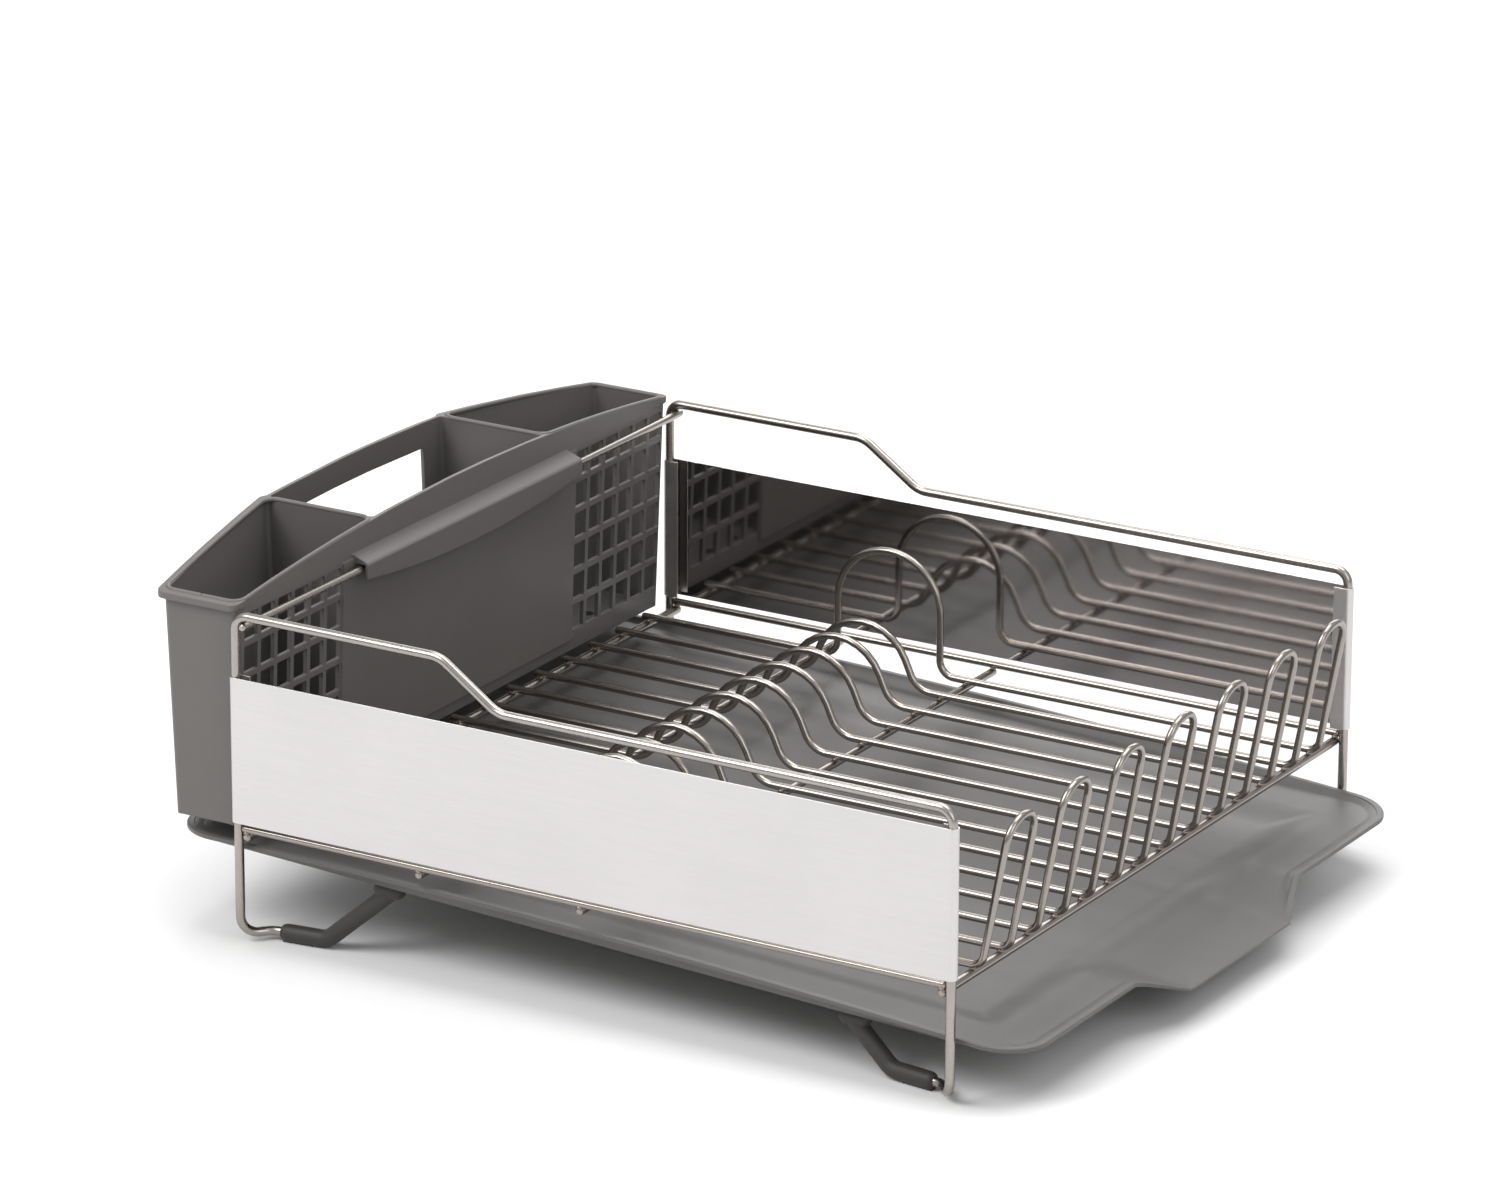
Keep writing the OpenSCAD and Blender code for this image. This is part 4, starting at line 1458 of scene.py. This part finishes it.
@dataclass(frozen=True)
class Camera:
    """The camera.

    Attributes:
        aim: Point on the rack's middle plane that it looks at.
        azimuth: Angle round the rack from its near side, toward the spout, in degrees.
        elevation: Angle above the counter, in degrees.
        roll: Turn about the line of sight, in degrees.
        distance: Distance from the aim point.
        lens: Focal length in millimetres.
    """

    aim: tuple[float, float, float] = (-0.0193, 0.0, 0.1451)
    azimuth: float = 30.853
    elevation: float = 18.836
    roll: float = 0.25
    distance: float = 3.6098
    lens: float = 185.46

    def build(self) -> None:
        """Places the camera."""
        a, e, r = (math.radians(v) for v in (self.azimuth, self.elevation, self.roll))
        look = Vector((-math.sin(a) * math.cos(e), math.cos(a) * math.cos(e), -math.sin(e)))
        level = look.cross(Vector((0, 0, 1))).normalized()
        upright = level.cross(look)
        right = level * math.cos(r) + upright * math.sin(r)
        up = upright * math.cos(r) - level * math.sin(r)
        data = bpy.data.cameras.new("camera")
        data.lens = self.lens
        data.sensor_width = 36.0
        data.sensor_fit = "HORIZONTAL"
        data.clip_end = 50.0
        obj = add_object("camera", data)
        place = Vector(self.aim) - look * self.distance
        obj.matrix_world = Matrix.Translation(place) @ Matrix((right, up, -look)).transposed().to_4x4()
        bpy.context.scene.camera = obj


@dataclass(frozen=True)
class SoftBox:
    """A rectangular studio light.

    Attributes:
        name: Its name.
        place: Its centre.
        size: Its width and height.
        power: Its power in watts.
    """

    name: str
    place: tuple[float, float, float]
    size: tuple[float, float]
    power: float

    def build(self, aim: Vector) -> None:
        """Places the light, facing aim."""
        data = bpy.data.lights.new(self.name, "AREA")
        data.shape = "RECTANGLE"
        data.size, data.size_y = self.size
        data.energy = self.power
        obj = add_object(self.name, data)
        obj.location = self.place
        obj.rotation_euler = (aim - Vector(self.place)).to_track_quat("-Z", "Y").to_euler()


@dataclass(frozen=True)
class Studio:
    """Floor, surroundings and lights.

    Attributes:
        floor_half: Half the floor's width.
        floor_colour: Linear colour of the floor.
        aim: Point that the lights face.
        sky: Greys of the surroundings, from straight down at 0 to overhead at 1.
        sky_strength: Brightness of the surroundings.
        lights: The soft boxes.
    """

    floor_half: float = 6.0
    floor_colour: tuple[float, float, float] = (0.74, 0.74, 0.74)
    aim: tuple[float, float, float] = (0.0, 0.0, 0.08)
    sky: tuple[tuple[float, float], ...] = ((0.50, 0.50), (0.58, 0.70), (0.8, 1.0))
    sky_strength: float = 0.75
    lights: tuple[SoftBox, ...] = (
        SoftBox("key_box", (-1.2, -1.9, 2.3), (1.6, 1.6), 60.0),
        SoftBox("fill_box", (2.4, -1.2, 1.5), (1.4, 1.8), 16.0),
        SoftBox("top_box", (0.1, 0.5, 2.6), (2.2, 1.6), 46.0),
        SoftBox("rim_box", (-0.8, 2.4, 1.4), (2.0, 1.2), 20.0),
    )

    def floor(self) -> None:
        """Builds the pale floor."""
        mat, t, bsdf = new_finish("studio_floor")
        place = t.add("ShaderNodeTexCoord").outputs["Object"]
        mottle = t.add("ShaderNodeTexNoise", Vector=place, Scale=2.0, Detail=2.0)
        tones = [(0.0, shade(self.floor_colour, 0.99)), (1.0, self.floor_colour)]
        t.fill(bsdf.inputs["Base Color"], t.ramp(mottle.outputs[0], tones))
        bsdf.inputs["Roughness"].default_value = 0.85
        h = self.floor_half
        verts = [(-h, -h, 0), (h, -h, 0), (h, h, 0), (-h, h, 0)]
        mesh_object("floor", verts, [(0, 1, 2, 3)], (mat,))

    def surroundings(self) -> None:
        """Builds a soft room: white overhead, darker toward the horizon."""
        world = bpy.data.worlds.new("studio")
        bpy.context.scene.world = world
        world.use_nodes = True
        t = Tree(world.node_tree)
        way = t.add("ShaderNodeTexCoord").outputs["Generated"]
        split = t.add("ShaderNodeSeparateXYZ", Vector=way)
        climb = t.math("MULTIPLY_ADD", split.outputs["Z"], 0.5, 0.5)
        back = world.node_tree.nodes["Background"]
        t.fill(back.inputs["Color"], t.ramp(climb, [(place, (grey,) * 3) for place, grey in self.sky]))
        back.inputs["Strength"].default_value = self.sky_strength

    def build(self) -> None:
        """Builds the studio."""
        bpy.context.scene.view_settings.view_transform = "Standard"
        self.floor()
        self.surroundings()
        for light in self.lights:
            light.build(Vector(self.aim))


def main() -> None:
    """Builds every sub-assembly in order and reports it."""
    logging.basicConfig(level=logging.INFO, format="%(message)s")
    Camera().build()
    Studio().build()
    sizes = Sizes.from_frame()
    palette = Palette.mix()
    shop, welder = WireShop(), WeldShop()
    frames = SideFrames(sizes)
    frames.build(shop, palette)
    RackFloor(sizes).build(shop, welder, palette)
    SidePanels(sizes).build(palette)
    FootSleeves(frames).build(shop, palette)
    DripTray(sizes).build(palette)
    UtensilCaddy(sizes).build(shop, palette)


if __name__ == "__main__":
    main()
